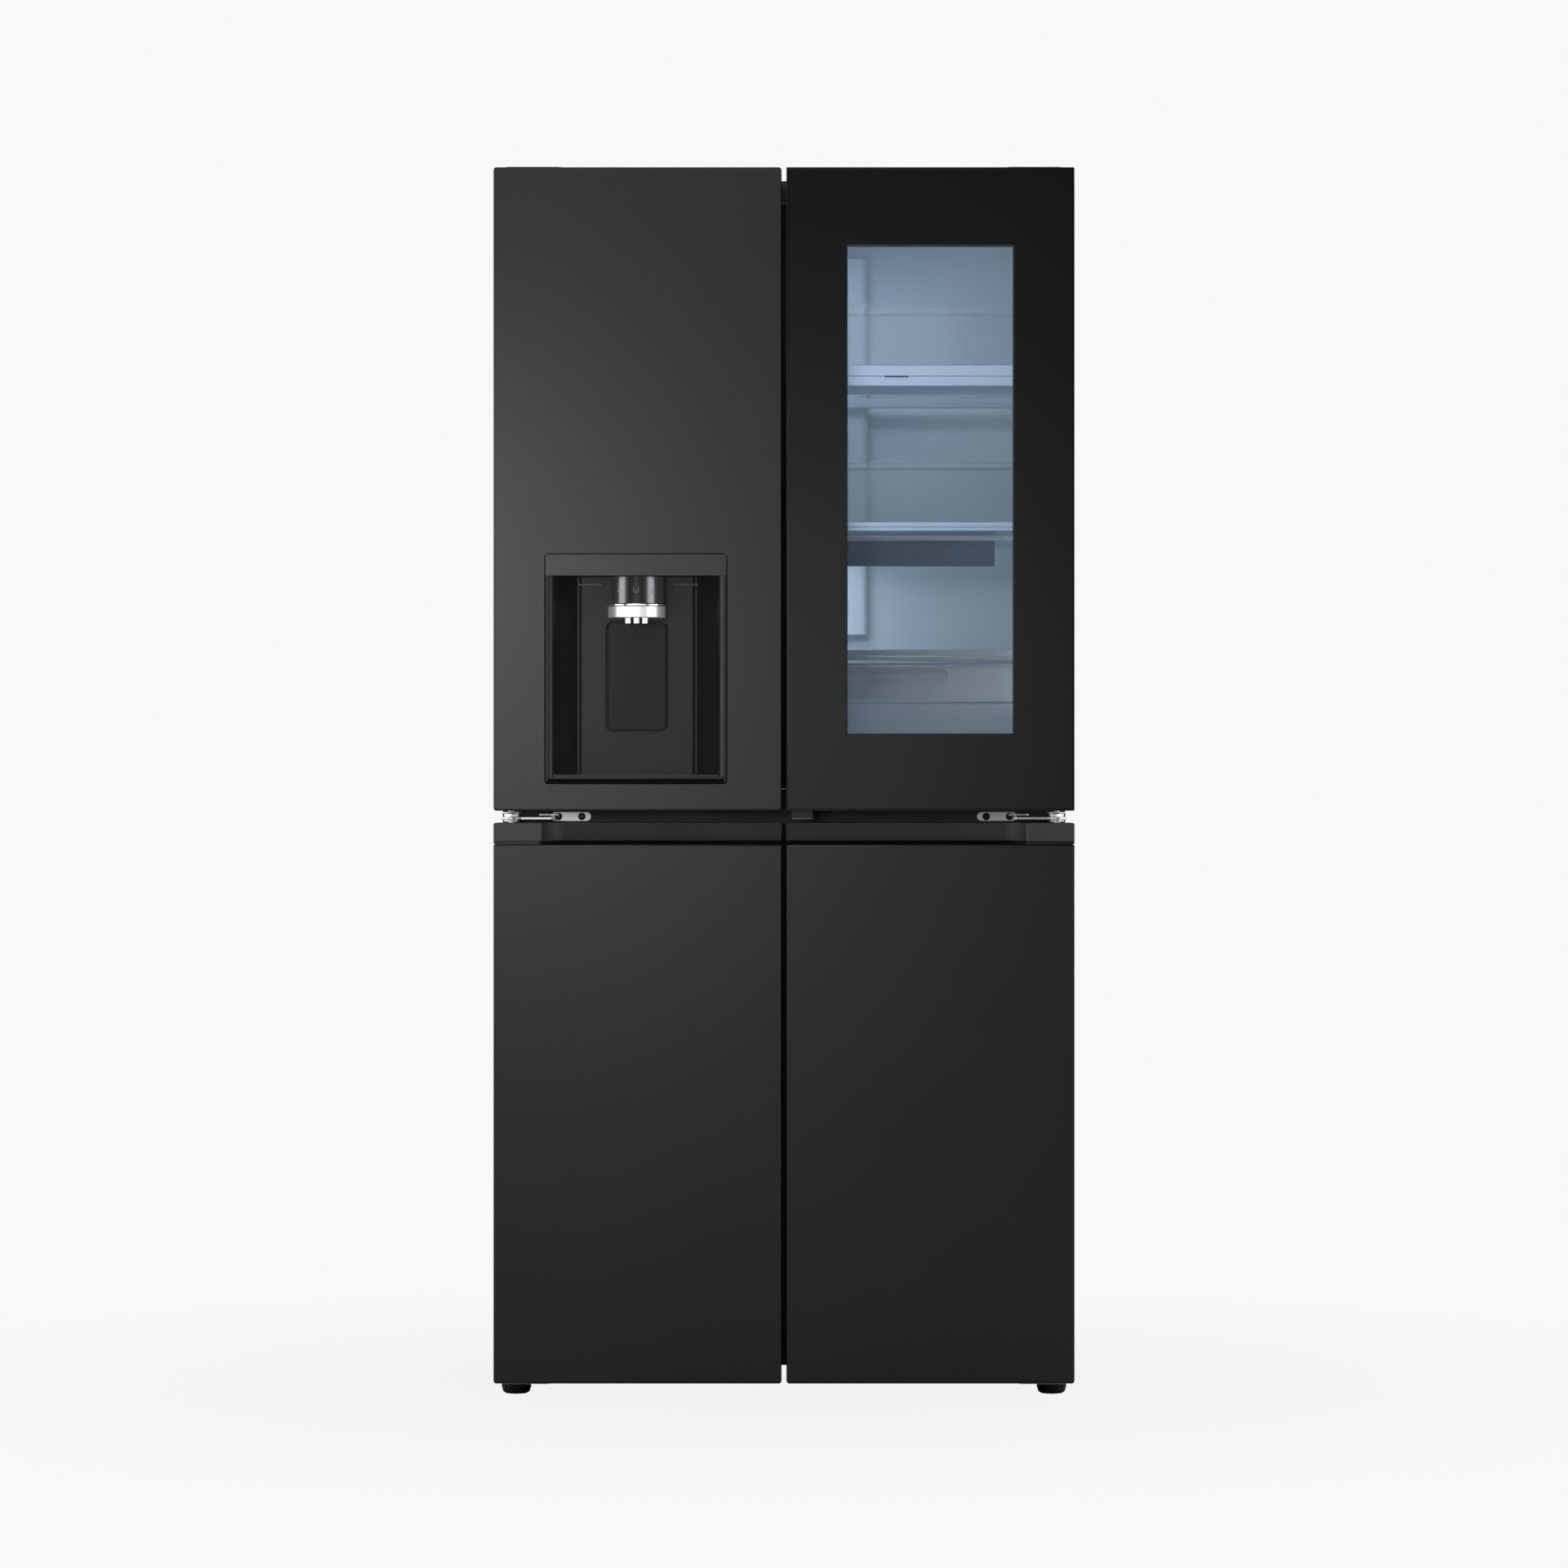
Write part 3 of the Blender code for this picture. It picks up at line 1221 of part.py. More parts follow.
def make_inner_frame():
    """The frame that hangs on the cabinet, with a tunnel for the baskets and the outer door's lugs."""
    bottom, top = UPPER_DOOR_BOTTOM, DOOR_TOP
    frame = block(
        "right_door_inner_frame",
        (DOOR_EDGE, INNER_FRONT, bottom),
        (DOOR_SIDE, DOOR_BACK, top),
        LINER_WHITE,
    )
    x0, x1 = TUNNEL_FROM_CENTRE, INNER_SIDE - RIB_CLEARANCE
    z0, z1 = FRIDGE_FLOOR + 0.014, FRIDGE_CEILING - 0.014
    tunnel = block("tunnel", (x0, DOOR_BACK - 0.006, z0), (x1, TUNNEL_BACK, z1))
    way = block(
        "tunnel_way",
        (x0 + TUNNEL_WALL, INNER_FRONT - 0.05, z0 + TUNNEL_WALL),
        (x1 - TUNNEL_WALL, TUNNEL_BACK + 0.05, z1 - TUNNEL_WALL),
    )
    join(frame, tunnel)
    cut(
        frame,
        way,
        hinge_pocket("inner_frame_pocket", 1),
        pin_socket("right_top_socket", 1, HINGE_POCKET_FLOOR - PIN_LENGTH - 0.002, DOOR_TOP),
        pin_socket("right_bottom_socket", 1, bottom - 0.01, bottom + PIN_LENGTH + 0.002),
    )
    x, y = DOOR_SIDE - OUTER_HINGE_IN, FRONT + OUTER_THICKNESS / 2
    for name, z in lug_heights().items():
        lug = block(
            f"lug_{name}",
            (x - LUG_HALF, y, z - LUG_HEIGHT / 2),
            (x + LUG_HALF, INNER_FRONT + 0.006, z + LUG_HEIGHT / 2),
        )
        nose = rod(f"lug_nose_{name}", (x, y, z), LUG_HALF, LUG_HEIGHT)
        pin = rod(f"lug_pin_{name}", (x, y, z), LUG_PIN, LUG_HEIGHT + 0.016, sides=16)
        join(frame, lug, nose, pin)

    baskets = []
    for name, (share, base) in BASKETS.items():
        floor = z0 + TUNNEL_WALL + share * (z1 - z0 - 2 * TUNNEL_WALL)
        baskets.append(
            tray(
                f"right_door_basket_{name}",
                (x0 + TUNNEL_WALL + FIT, INNER_FRONT + 0.002, floor - base),
                (x1 - TUNNEL_WALL - FIT, TUNNEL_BACK - 0.002, floor + BASKET_HEIGHT),
                BASKET_WALL,
                base,
                CLEAR_PLASTIC,
            )
        )
    seal = door_seal("right_door_gasket", 1, bottom + SEAL_FROM_MIDDLE, top - SEAL_FROM_TOP)
    return frame, seal, *baskets


def lug_heights():
    return {"lower": UPPER_DOOR_BOTTOM + LUG_FROM_END, "upper": DOOR_TOP - LUG_FROM_END}


def make_outer_door(axis):
    bottom, top = UPPER_DOOR_BOTTOM, DOOR_TOP
    frame = block(
        "outer_door_frame",
        (DOOR_EDGE, FRONT, bottom),
        (DOOR_SIDE, OUTER_BACK, top),
        DARK_PLASTIC,
        edge=EDGE,
    )
    trim = GLASS_TRIM
    glass_low = (DOOR_EDGE + trim, FRONT, bottom + trim)
    glass_high = (DOOR_SIDE - trim, FRONT + GLASS, top - trim)
    grown_low = (glass_low[0] - FIT, FRONT - 0.02, glass_low[2] - FIT)
    grown_high = (glass_high[0] + FIT, glass_high[1] + FIT, glass_high[2] + FIT)
    button_x = DOOR_EDGE + BUTTON_FROM_EDGE
    button_y = FRONT + BUTTON_BACK
    button_top = bottom - BUTTON_DROP + BUTTON_TALL
    cut(
        frame,
        block("glass_seat", grown_low, grown_high),
        window_block("window_hole", WINDOW_REBATE + FIT, FRONT - 0.02, OUTER_BACK + 0.02),
        hinge_pocket("outer_frame_pocket", 1),
        finger_pocket(
            "outer_finger_pocket",
            1,
            bottom - 0.01,
            bottom + FINGER_DEPTH,
            FRONT + 0.008,
            FINGER_END_BY_BUTTON,
        ),
        block(
            "button_well",
            (button_x - 0.0005, button_y - 0.0005, bottom - 0.02),
            (
                button_x + BUTTON_WIDTH + 0.0005,
                button_y + BUTTON_DEPTH + 0.0005,
                button_top + BUTTON_TRAVEL + 0.001,
            ),
        ),
    )
    x, y = DOOR_SIDE - OUTER_HINGE_IN, FRONT + OUTER_THICKNESS / 2
    gap = LUG_CLEARANCE
    for name, z in lug_heights().items():
        notch = block(
            f"lug_notch_{name}",
            (x - 2 * LUG_HALF - gap, y - LUG_HALF - gap - LUG_SWING_ROOM, z - LUG_HEIGHT / 2 - gap),
            (DOOR_SIDE + 0.02, OUTER_BACK + 0.02, z + LUG_HEIGHT / 2 + gap),
        )
        socket = rod(f"lug_socket_{name}", (x, y, z), LUG_PIN + PIN_CLEARANCE, LUG_HEIGHT + 0.020, sides=16)
        cut(frame, notch, socket)
    glass = block("outer_door_glass", glass_low, glass_high, BLACK_GLASS)
    cut(glass, window_block("glass_hole", FIT, FRONT - 0.02, FRONT + 0.02))

    window = window_block("window_unit", 0.0, FRONT, FRONT + GLASS + 0.002, CLEAR_GLASS)
    join(window, window_block("sealed_unit", WINDOW_REBATE, FRONT + GLASS + 2 * FIT, FRONT + WINDOW_UNIT))

    seal = frame_seal(
        "outer_door_gasket",
        (DOOR_EDGE + SEAL_FROM_FREE_SIDE, DOOR_SIDE - OUTER_HINGE_IN - 0.014),
        (bottom + SEAL_FROM_MIDDLE, top - SEAL_FROM_TOP),
        (OUTER_BACK + FIT, INNER_FRONT - FIT),
    )
    button_axis = pivot("button_axis", (button_x + BUTTON_WIDTH / 2, button_y, bottom), axis)
    button = block(
        "release_button",
        (button_x, button_y, bottom - BUTTON_DROP),
        (button_x + BUTTON_WIDTH, button_y + BUTTON_DEPTH, button_top),
        DARK_PLASTIC,
        round_along="Y",
        radius=0.002,
        segments=2,
    )
    hang(button_axis, button)
    hang(axis, frame, glass, window, seal)


def make_right_door():
    door = pivot("right_door_axis", (HINGE_X, HINGE_Y, UPPER_DOOR_BOTTOM))
    hang(door, *make_inner_frame())
    place = (DOOR_SIDE - OUTER_HINGE_IN, FRONT + OUTER_THICKNESS / 2, UPPER_DOOR_BOTTOM)
    make_outer_door(pivot("outer_door_axis", place, door))


# ---------------------------------------------------------------- freezer doors


def scoop(side, set_back):
    """The grip cap seen from above. Its front is scooped back from near the hinge to the free edge."""
    near, far = door_span(side)
    front = FRONT + 0.0005 + set_back
    points = [(far, DOOR_BACK), (far, front)]
    steps = 8
    for i in range(steps + 1):
        share = i / steps
        x = far - side * (GRIP_START + share * GRIP_RUN)
        points.append((x, front + GRIP_DEPTH * (1 - math.cos(share * math.pi)) / 2))
    points += [(near, front + GRIP_DEPTH), (near, DOOR_BACK)]
    return points


def make_freezer_door(side, name):
    bottom, top = LOWER_DOOR_BOTTOM, LOWER_PANEL_TOP
    door = pivot(f"freezer_door_axis_{name}", (side * HINGE_X, HINGE_Y, bottom))
    skin = door_skin(f"freezer_door_skin_{name}", side, bottom, top)
    rib_centre = CENTRE_WALL / 2 + RIB_CLEARANCE
    core = door_core(
        f"freezer_door_core_{name}",
        side,
        bottom,
        top - FIT,
        FREEZER_FLOOR + 0.014,
        FREEZER_CEILING - 0.014,
        rib_centre,
    )
    cut(
        core,
        pin_socket(f"freezer_bottom_socket_{name}", side, bottom - 0.01, bottom + PIN_LENGTH + 0.002),
        finger_pocket(
            f"freezer_finger_pocket_{name}",
            side,
            top - FINGER_DEPTH,
            top + 0.01,
            FRONT + FINGER_LIP,
        ),
    )
    groove_top = top + CAP_GROOVE
    cap = prism(f"freezer_grip_cap_{name}", scoop(side, 0.0), groove_top, LOWER_DOOR_TOP, DARK_PLASTIC)
    neck = prism(f"grip_neck_{name}", scoop(side, CAP_GROOVE_DEPTH), top + FIT, groove_top + 0.002)
    join(cap, neck)
    socket_bottom = LOWER_DOOR_TOP - PIN_LENGTH - 0.002
    cut(cap, pin_socket(f"freezer_top_socket_{name}", side, socket_bottom, LOWER_DOOR_TOP + 0.01))
    seal_bottom, seal_top = bottom + SEAL_FROM_BOTTOM, LOWER_DOOR_TOP - SEAL_FROM_MIDDLE
    seal = door_seal(f"freezer_door_gasket_{name}", side, seal_bottom, seal_top)
    hang(door, skin, core, cap, seal)


def main():
    make_cabinet()
    make_machine_room()
    make_shelves()
    make_drawers()
    for side, name in ((-1, "left"), (1, "right")):
        make_top_hinge(side, name)
        make_middle_hinge(side, name)
        make_bottom_hinge(side, name)
        make_freezer_door(side, name)
    make_left_door()
    make_right_door()


main()
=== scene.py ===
"""Looks of the four-door refrigerator: its finishes, its detailed pieces, and a plain studio.

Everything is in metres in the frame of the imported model: +Z up, the doors' front at -Y.
"""

import math

import bmesh
import bpy
from mathutils import Matrix, Vector


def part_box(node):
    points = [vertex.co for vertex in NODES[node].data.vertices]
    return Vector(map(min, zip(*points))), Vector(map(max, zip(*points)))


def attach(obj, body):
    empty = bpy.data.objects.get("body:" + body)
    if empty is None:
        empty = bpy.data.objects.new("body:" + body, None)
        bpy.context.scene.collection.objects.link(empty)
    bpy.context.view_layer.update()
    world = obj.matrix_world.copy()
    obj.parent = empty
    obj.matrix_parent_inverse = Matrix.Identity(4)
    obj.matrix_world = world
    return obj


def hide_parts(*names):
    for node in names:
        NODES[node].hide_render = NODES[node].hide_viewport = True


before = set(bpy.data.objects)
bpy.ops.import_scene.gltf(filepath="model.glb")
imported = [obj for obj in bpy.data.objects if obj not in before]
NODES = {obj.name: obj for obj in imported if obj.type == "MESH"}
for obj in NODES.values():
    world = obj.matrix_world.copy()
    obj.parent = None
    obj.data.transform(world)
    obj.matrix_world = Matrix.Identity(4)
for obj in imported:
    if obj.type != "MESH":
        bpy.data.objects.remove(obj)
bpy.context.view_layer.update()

# ---------------------------------------------------------------- sizes
SHEET = 0.0012  # door sheet
CAP_LINE = 0.0014  # plastic end cap showing above and below the sheet
CORNER = 0.0035  # rounding of a door's outline
FRONT_EDGE = 0.0016  # rolled edge of the sheet
HAIR = 0.0004
SIDES = (("left", -1), ("right", 1))

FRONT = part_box("left_door_skin")[0].y
RECESS_BACK = FRONT + 0.066  # raised panel at the back of the dispenser
DOOR_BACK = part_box("left_door_gasket")[0].y - 0.0003
CABINET_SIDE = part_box("cabinet_shell")[1].x
CABINET_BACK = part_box("rear_panel")[1].y
INNER_SIDE = 0.3665  # compartment wall
DOOR_SIDE = 0.4175  # outer side of a door
PIN_X, PIN_Y = 0.394, -0.3145  # axis of the middle hinge pins
FRIDGE_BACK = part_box("air_duct_panel")[1].y
FRIDGE_CEILING = 1.734


# ---------------------------------------------------------------- finishes


class Signal:
    """A shader value that takes part in Python arithmetic."""

    def __init__(self, shading, socket):
        self.shading = shading
        self.socket = socket

    def _math(self, operation, *values):
        return self.shading.node("ShaderNodeMath", {"operation": operation}, dict(enumerate(values)))

    def __add__(self, other):
        return self._math("ADD", self, other)

    def __radd__(self, other):
        return self._math("ADD", other, self)

    def __sub__(self, other):
        return self._math("SUBTRACT", self, other)

    def __rsub__(self, other):
        return self._math("SUBTRACT", other, self)

    def __mul__(self, other):
        return self._math("MULTIPLY", self, other)

    def __rmul__(self, other):
        return self._math("MULTIPLY", other, self)

    def __gt__(self, other):
        return self._math("GREATER_THAN", self, other)

    def __lt__(self, other):
        return self._math("LESS_THAN", self, other)


class Shading:
    """A node tree of a material or of the world, whose nodes are written as expressions."""

    def __init__(self, owner):
        owner.use_nodes = True
        self.tree = owner.node_tree

    def feed(self, socket, value):
        if isinstance(value, Signal):
            self.tree.links.new(value.socket, socket)
        elif isinstance(value, tuple) and len(value) == 3 and socket.type == "RGBA":
            socket.default_value = (*value, 1.0)
        else:
            socket.default_value = value

    def node(self, kind, settings=None, values=None, output=0):
        made = self.tree.nodes.new(kind)
        for key, value in (settings or {}).items():
            setattr(made, key, value)
        for key, value in (values or {}).items():
            self.feed(made.inputs[key], value)
        return made if output is None else Signal(self, made.outputs[output])


class Finish(Shading):
    """A material of one record slot, built on its Principled shader."""

    def __init__(self, name, slot, **shader):
        self.slot = slot
        self.material = bpy.data.materials.new(name)
        super().__init__(self.material)
        self.shader = self.tree.nodes["Principled BSDF"]
        self.place = self.node("ShaderNodeTexCoord", output="Object")
        self.set(**shader)

    def set(self, **shader):
        for name, value in shader.items():
            self.feed(self.shader.inputs[name.replace("_", " ")], value)
        return self

    def noise(self, scale, detail=2.0, stretch=(1.0, 1.0, 1.0)):
        place = self.node("ShaderNodeMapping", values={"Vector": self.place, "Scale": stretch})
        values = {"Vector": place, "Scale": scale, "Detail": detail}
        return self.node("ShaderNodeTexNoise", values=values, output="Fac")

    def mix(self, factor, a, b):
        """A colour between a and b."""
        return self.node("ShaderNodeMix", {"data_type": "RGBA"}, {0: factor, 6: a, 7: b}, output=2)

    def bump(self, height, depth):
        return self.node("ShaderNodeBump", values={"Height": height, "Distance": depth, "Strength": 1.0})


def coated_steel(name, slot, dark, light, roughness, metallic):
    """Satin coating over sheet: cloudy tone, fine grain, slight orange peel."""
    made = Finish(name, slot, Metallic=metallic, IOR=1.5)
    cloud, grain, peel = made.noise(5.0), made.noise(2400.0, 1.0), made.noise(130.0, 1.0)
    made.set(
        Base_Color=made.mix(cloud, dark, light),
        Roughness=roughness - 0.03 + 0.05 * cloud + 0.02 * grain,
        Normal=made.bump(grain * 0.3 + peel, 0.00001),
    )
    return made


def moulded(name, slot, colour, worn, roughness, grain_scale=1500.0, grain_depth=0.00003, **shader):
    """Injection-moulded plastic: fine leathery grain, a tone that drifts a little."""
    made = Finish(name, slot, **shader)
    drift, grain = made.noise(9.0), made.noise(grain_scale, 2.0)
    made.set(
        Base_Color=made.mix(drift, colour, worn),
        Roughness=roughness - 0.04 + 0.08 * drift,
        Normal=made.bump(grain, grain_depth),
    )
    return made


def plated(name, slot, colour, shade, roughness, scale, stretch=(1.0, 1.0, 1.0)):
    """Bare or plated metal with streaks or spangle."""
    made = Finish(name, slot, Metallic=1.0)
    streak = made.noise(scale, 3.0, stretch)
    made.set(
        Base_Color=made.mix(streak, shade, colour),
        Roughness=roughness - 0.05 + 0.12 * streak,
        Normal=made.bump(streak, 0.00001),
    )
    return made


def see_through(name, slot, colour, alpha, roughness):
    """Clear glass or plastic, a little denser in places."""
    made = Finish(name, slot, Base_Color=colour, IOR=1.45)
    haze = made.noise(6.0)
    made.set(Alpha=alpha - 0.02 + 0.04 * haze, Roughness=roughness + 0.02 * haze)
    return made


GRAPHITE = coated_steel(
    "graphite_steel", "graphite_steel", (0.052, 0.054, 0.057), (0.058, 0.060, 0.063), 0.40, 0.7
)
CABINET = coated_steel(
    "cabinet_paint", "cabinet_paint", (0.060, 0.062, 0.066), (0.068, 0.070, 0.074), 0.48, 0.2
)
BAR = coated_steel("dispenser_bar", "graphite_steel", (0.056, 0.058, 0.062), (0.061, 0.063, 0.066), 0.38, 0.6)
DARK = moulded("dark_plastic", "dark_plastic", (0.016, 0.017, 0.019), (0.020, 0.021, 0.023), 0.42)
# Near-black, low-sheen finish of the dispenser sill: the lip's own black plus painted shade for the shadow
# lying on it.
SILL_BLACK_AND_SHADE = moulded(
    "sill_black_and_painted_shade", "dark_plastic", (0.006, 0.006, 0.007), (0.008, 0.008, 0.009), 0.8, Specular_IOR_Level=0.1
)
RECESS = moulded(
    "recess_plastic", "dark_plastic", (0.0095, 0.010, 0.0112), (0.0115, 0.0120, 0.0132), 0.42, 2500.0,
    0.00001, Specular_IOR_Level=0.32,
)
LINER = moulded("liner_white", "liner_white", (0.74, 0.79, 0.84), (0.78, 0.83, 0.87), 0.34, 400.0, 0.00004)
FROST = moulded("frost_white", "liner_white", (0.66, 0.73, 0.80), (0.72, 0.79, 0.85), 0.50, 900.0, 0.00004)
TRAY = moulded("tray_frost", "clear_plastic", (0.50, 0.62, 0.80), (0.58, 0.70, 0.86), 0.30, 900.0, 0.00003)
RUBBER = moulded("seal_rubber", "seal_rubber", (0.30, 0.31, 0.32), (0.34, 0.35, 0.36), 0.62, 700.0, 0.00005)
LIP_RUBBER = moulded("lip_rubber", "seal_rubber", (0.012, 0.012, 0.013), (0.016, 0.016, 0.017), 0.65)
FOOT = moulded(
    "foot_plastic", "foot_plastic", (0.018, 0.018, 0.019), (0.024, 0.024, 0.025), 0.5, 900.0, 0.00006
)
ENAMEL = coated_steel("black_enamel", "black_enamel", (0.012, 0.012, 0.013), (0.018, 0.018, 0.019), 0.32, 0.0)
ZINC = plated("zinc_steel", "zinc_steel", (0.66, 0.67, 0.69), (0.50, 0.51, 0.53), 0.34, 160.0)
BRIGHT_ZINC = plated("bright_zinc", "zinc_steel", (0.92, 0.93, 0.95), (0.70, 0.71, 0.73), 0.40, 500.0)
TRIM = plated(
    "satin_trim", "zinc_steel", (0.62, 0.66, 0.70), (0.55, 0.59, 0.63), 0.30, 900.0, (0.02, 1.0, 1.0)
)
CHROME = plated("chrome", "chrome", (0.90, 0.91, 0.93), (0.84, 0.85, 0.87), 0.16, 300.0)
SATIN_RING = plated(
    "satin_ring", "chrome", (0.95, 0.96, 0.98), (0.90, 0.91, 0.93), 0.42, 700.0, (1.0, 1.0, 0.02)
)
GLOSS = coated_steel("gloss_grey", "gloss_grey", (0.12, 0.122, 0.13), (0.135, 0.137, 0.145), 0.24, 0.75)
SCREW = plated("dark_screw", "black_enamel", (0.10, 0.10, 0.11), (0.05, 0.05, 0.055), 0.36, 400.0)
CLEAR_GLASS = see_through("clear_glass", "clear_glass", (0.55, 0.70, 0.80), 0.06, 0.02)
SHELF_GLASS = see_through("shelf_glass", "clear_glass", (0.60, 0.75, 0.82), 0.22, 0.04)
CLEAR_PLASTIC = see_through("clear_plastic", "clear_plastic", (0.62, 0.74, 0.86), 0.08, 0.08)


def black_glass():
    made = Finish("black_glass", "black_glass", Metallic=0.0, IOR=1.52)
    smear = made.noise(7.0, 3.0)
    made.set(Base_Color=made.mix(smear, (0.0065, 0.0068, 0.0075), (0.0080, 0.0083, 0.0090)))
    made.set(Roughness=0.045 + 0.02 * smear)
    return made


def wrapped_frame(low, high, back, border):
    """White frame whose outside, in front of back, is painted as the doors are."""
    made = Finish("wrapped_frame", "liner_white")
    split = made.node("ShaderNodeSeparateXYZ", values={"Vector": made.place}, output=None)
    x, y, z = (Signal(made, split.outputs[i]) for i in range(3))
    inside = (x > low[0] + border) * (z > low[1] + border) * (high[0] - border > x) * (high[1] - border > z)
    painted = (1.0 - inside) * (back > y)
    grain = made.noise(900.0)
    white = made.mix(grain, (0.74, 0.79, 0.84), (0.78, 0.83, 0.87))
    made.set(
        Base_Color=made.mix(painted, white, (0.055, 0.057, 0.060)),
        Metallic=painted * 0.7,
        Roughness=0.34 + 0.08 * painted,
        Normal=made.bump(grain, 0.00002),
    )
    return made


def lamp():
    made = Finish("lamp_lens", "liner_white", Base_Color=(0.9, 0.95, 1.0), Roughness=0.4)
    cells = made.noise(40.0, 1.0)
    made.set(Emission_Color=made.mix(cells, (0.66, 0.82, 1.0), (0.78, 0.90, 1.0)), Emission_Strength=1.6)
    return made


BLACK_GLASS = black_glass()
WRAPPED = wrapped_frame((0.0035, 0.849), (DOOR_SIDE, 1.774), -0.2725, 0.008)
BACK_SHEET = plated("back_sheet", "zinc_steel", (0.40, 0.41, 0.42), (0.33, 0.34, 0.35), 0.5, 60.0)
LAMP = lamp()
FRAME_DARK = coated_steel(
    "outer_frame", "dark_plastic", (0.030, 0.031, 0.034), (0.034, 0.035, 0.038), 0.36, 0.5
)
# Dark blue-grey of the shelf valance: painted shade, a dark plate standing for a shadowed band at the shelf
# front.
SHADE_VALANCE = moulded("valance_painted_shade", "gloss_grey", (0.10, 0.15, 0.23), (0.12, 0.17, 0.25), 0.4)
ICON = moulded("icon_ink", "liner_white", (0.45, 0.46, 0.48), (0.50, 0.51, 0.53), 0.5)

# ---------------------------------------------------------------- mesh tools


def cube(low, high):
    """A bmesh box between two corners."""
    low, high = Vector(low), Vector(high)
    small, large = Vector(map(min, low, high)), Vector(map(max, low, high))
    bm = bmesh.new()
    place = Matrix.Translation((small + large) / 2) @ Matrix.Diagonal((*(large - small), 1.0))
    bmesh.ops.create_cube(bm, size=1.0, matrix=place)
    return bm


def edges_along(bm, axis):
    i = "XYZ".index(axis)
    return [e for e in bm.edges if abs((e.verts[1].co - e.verts[0].co).normalized()[i]) > 0.999]


def sharp_edges(bm, degrees=40):
    bm.normal_update()
    limit = math.radians(degrees)
    return [e for e in bm.edges if len(e.link_faces) == 2 and e.calc_face_angle() > limit]


def round_off(bm, edges, radius, segments=4):
    bmesh.ops.bevel(
        bm,
        geom=edges,
        offset=radius,
        segments=segments,
        affect="EDGES",
        profile=0.5,
        material=-1,
        clamp_overlap=True,
    )
    return bm


def slab(low, high, corner=0.0, along="Y", edge=0.0, steps=6, edge_steps=3):
    """A box with four edges rounded along one axis, then every edge that is still sharp."""
    bm = cube(low, high)
    if corner:
        round_off(bm, edges_along(bm, along), corner, steps)
    if edge:
        round_off(bm, sharp_edges(bm), edge, edge_steps)
    return bm


def rod(centre, radius, length, along="Z", sides=40, edge=0.0):
    turns = {
        "X": Matrix.Rotation(math.pi / 2, 4, "Y"), "Y": Matrix.Rotation(math.pi / 2, 4, "X"), "Z": Matrix()
    }
    bm = bmesh.new()
    bmesh.ops.create_cone(
        bm,
        cap_ends=True,
        segments=sides,
        radius1=radius,
        radius2=radius,
        depth=length,
        matrix=Matrix.Translation(centre) @ turns[along],
    )
    if edge:
        round_off(bm, sharp_edges(bm, 60), edge, 3)
    return bm


def turned(profile, centre, steps=48):
    """(radius, height) points spun round an upright axis through centre."""
    bm = bmesh.new()
    points = [bm.verts.new((radius, 0.0, height)) for radius, height in profile]
    for one, other in zip(points, points[1:]):
        bm.edges.new((one, other))
    bmesh.ops.spin(
        bm,
        geom=bm.verts[:] + bm.edges[:],
        cent=(0, 0, 0),
        axis=(0, 0, 1),
        angle=2 * math.pi,
        steps=steps,
        use_merge=True,
    )
    bmesh.ops.translate(bm, vec=centre, verts=bm.verts)
    return merged(bm)


def merged(bm):
    bmesh.ops.remove_doubles(bm, verts=bm.verts, dist=0.000002)
    bmesh.ops.recalc_face_normals(bm, faces=bm.faces)
    return bm


def together(*parts):
    """Several bmeshes in one."""
    whole = bmesh.new()
    for bm in parts:
        mesh = bpy.data.meshes.new("part")
        bm.to_mesh(mesh)
        bm.free()
        whole.from_mesh(mesh)
        bpy.data.meshes.remove(mesh)
    return whole


def placed(name, bm):
    """The bmesh as an object in the scene."""
    mesh = bpy.data.meshes.new(name)
    bm.to_mesh(mesh)
    bm.free()
    made = bpy.data.objects.new(name, mesh)
    bpy.context.scene.collection.objects.link(made)
    return made


def raised(bm, height):
    """Gives a flat outline its thickness, upwards."""
    grown = bmesh.ops.extrude_face_region(bm, geom=bm.faces[:])["geom"]
    verts = [g for g in grown if isinstance(g, bmesh.types.BMVert)]
    bmesh.ops.translate(bm, vec=(0, 0, height), verts=verts)


def combined(base, others, operation):
    """The Boolean of bmeshes, as a bmesh."""
    first = placed("helper", merged(base))
    tools = [placed("helper", merged(other)) for other in others]
    for tool in tools:
        step = first.modifiers.new("step", "BOOLEAN")
        step.operation = operation
        step.solver = "EXACT"
        step.object = tool
    bpy.context.view_layer.update()
    graph = bpy.context.evaluated_depsgraph_get()
    mesh = bpy.data.meshes.new_from_object(first.evaluated_get(graph))
    bm = bmesh.new()
    bm.from_mesh(mesh)
    for old in (first, *tools):
        bpy.data.objects.remove(old)
    bpy.data.meshes.remove(mesh)
    bmesh.ops.dissolve_limit(bm, angle_limit=0.001, verts=bm.verts, edges=bm.edges)
    return bm


def carved(base, *cutters):
    return combined(base, cutters, "DIFFERENCE")


def joined(base, *others):
    return combined(base, others, "UNION")


def piece(name, bm, finish, body, stands_for=(), wall=0.0):
    """The bmesh as an object that rides on a body."""
    made = placed(name, merged(bm))
    made.data.materials.append(finish.material)
    made.data.shade_smooth()
    made.data.set_sharp_from_angle(angle=math.radians(42))
    if wall:
        thick = made.modifiers.new("wall", "SOLIDIFY")
        thick.thickness = wall
        thick.offset = -1.0
    even = made.modifiers.new("even_shading", "WEIGHTED_NORMAL")
    even.keep_sharp = True
    even.weight = 100
    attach(made, body)
    if stands_for:
        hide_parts(*stands_for)
    return made


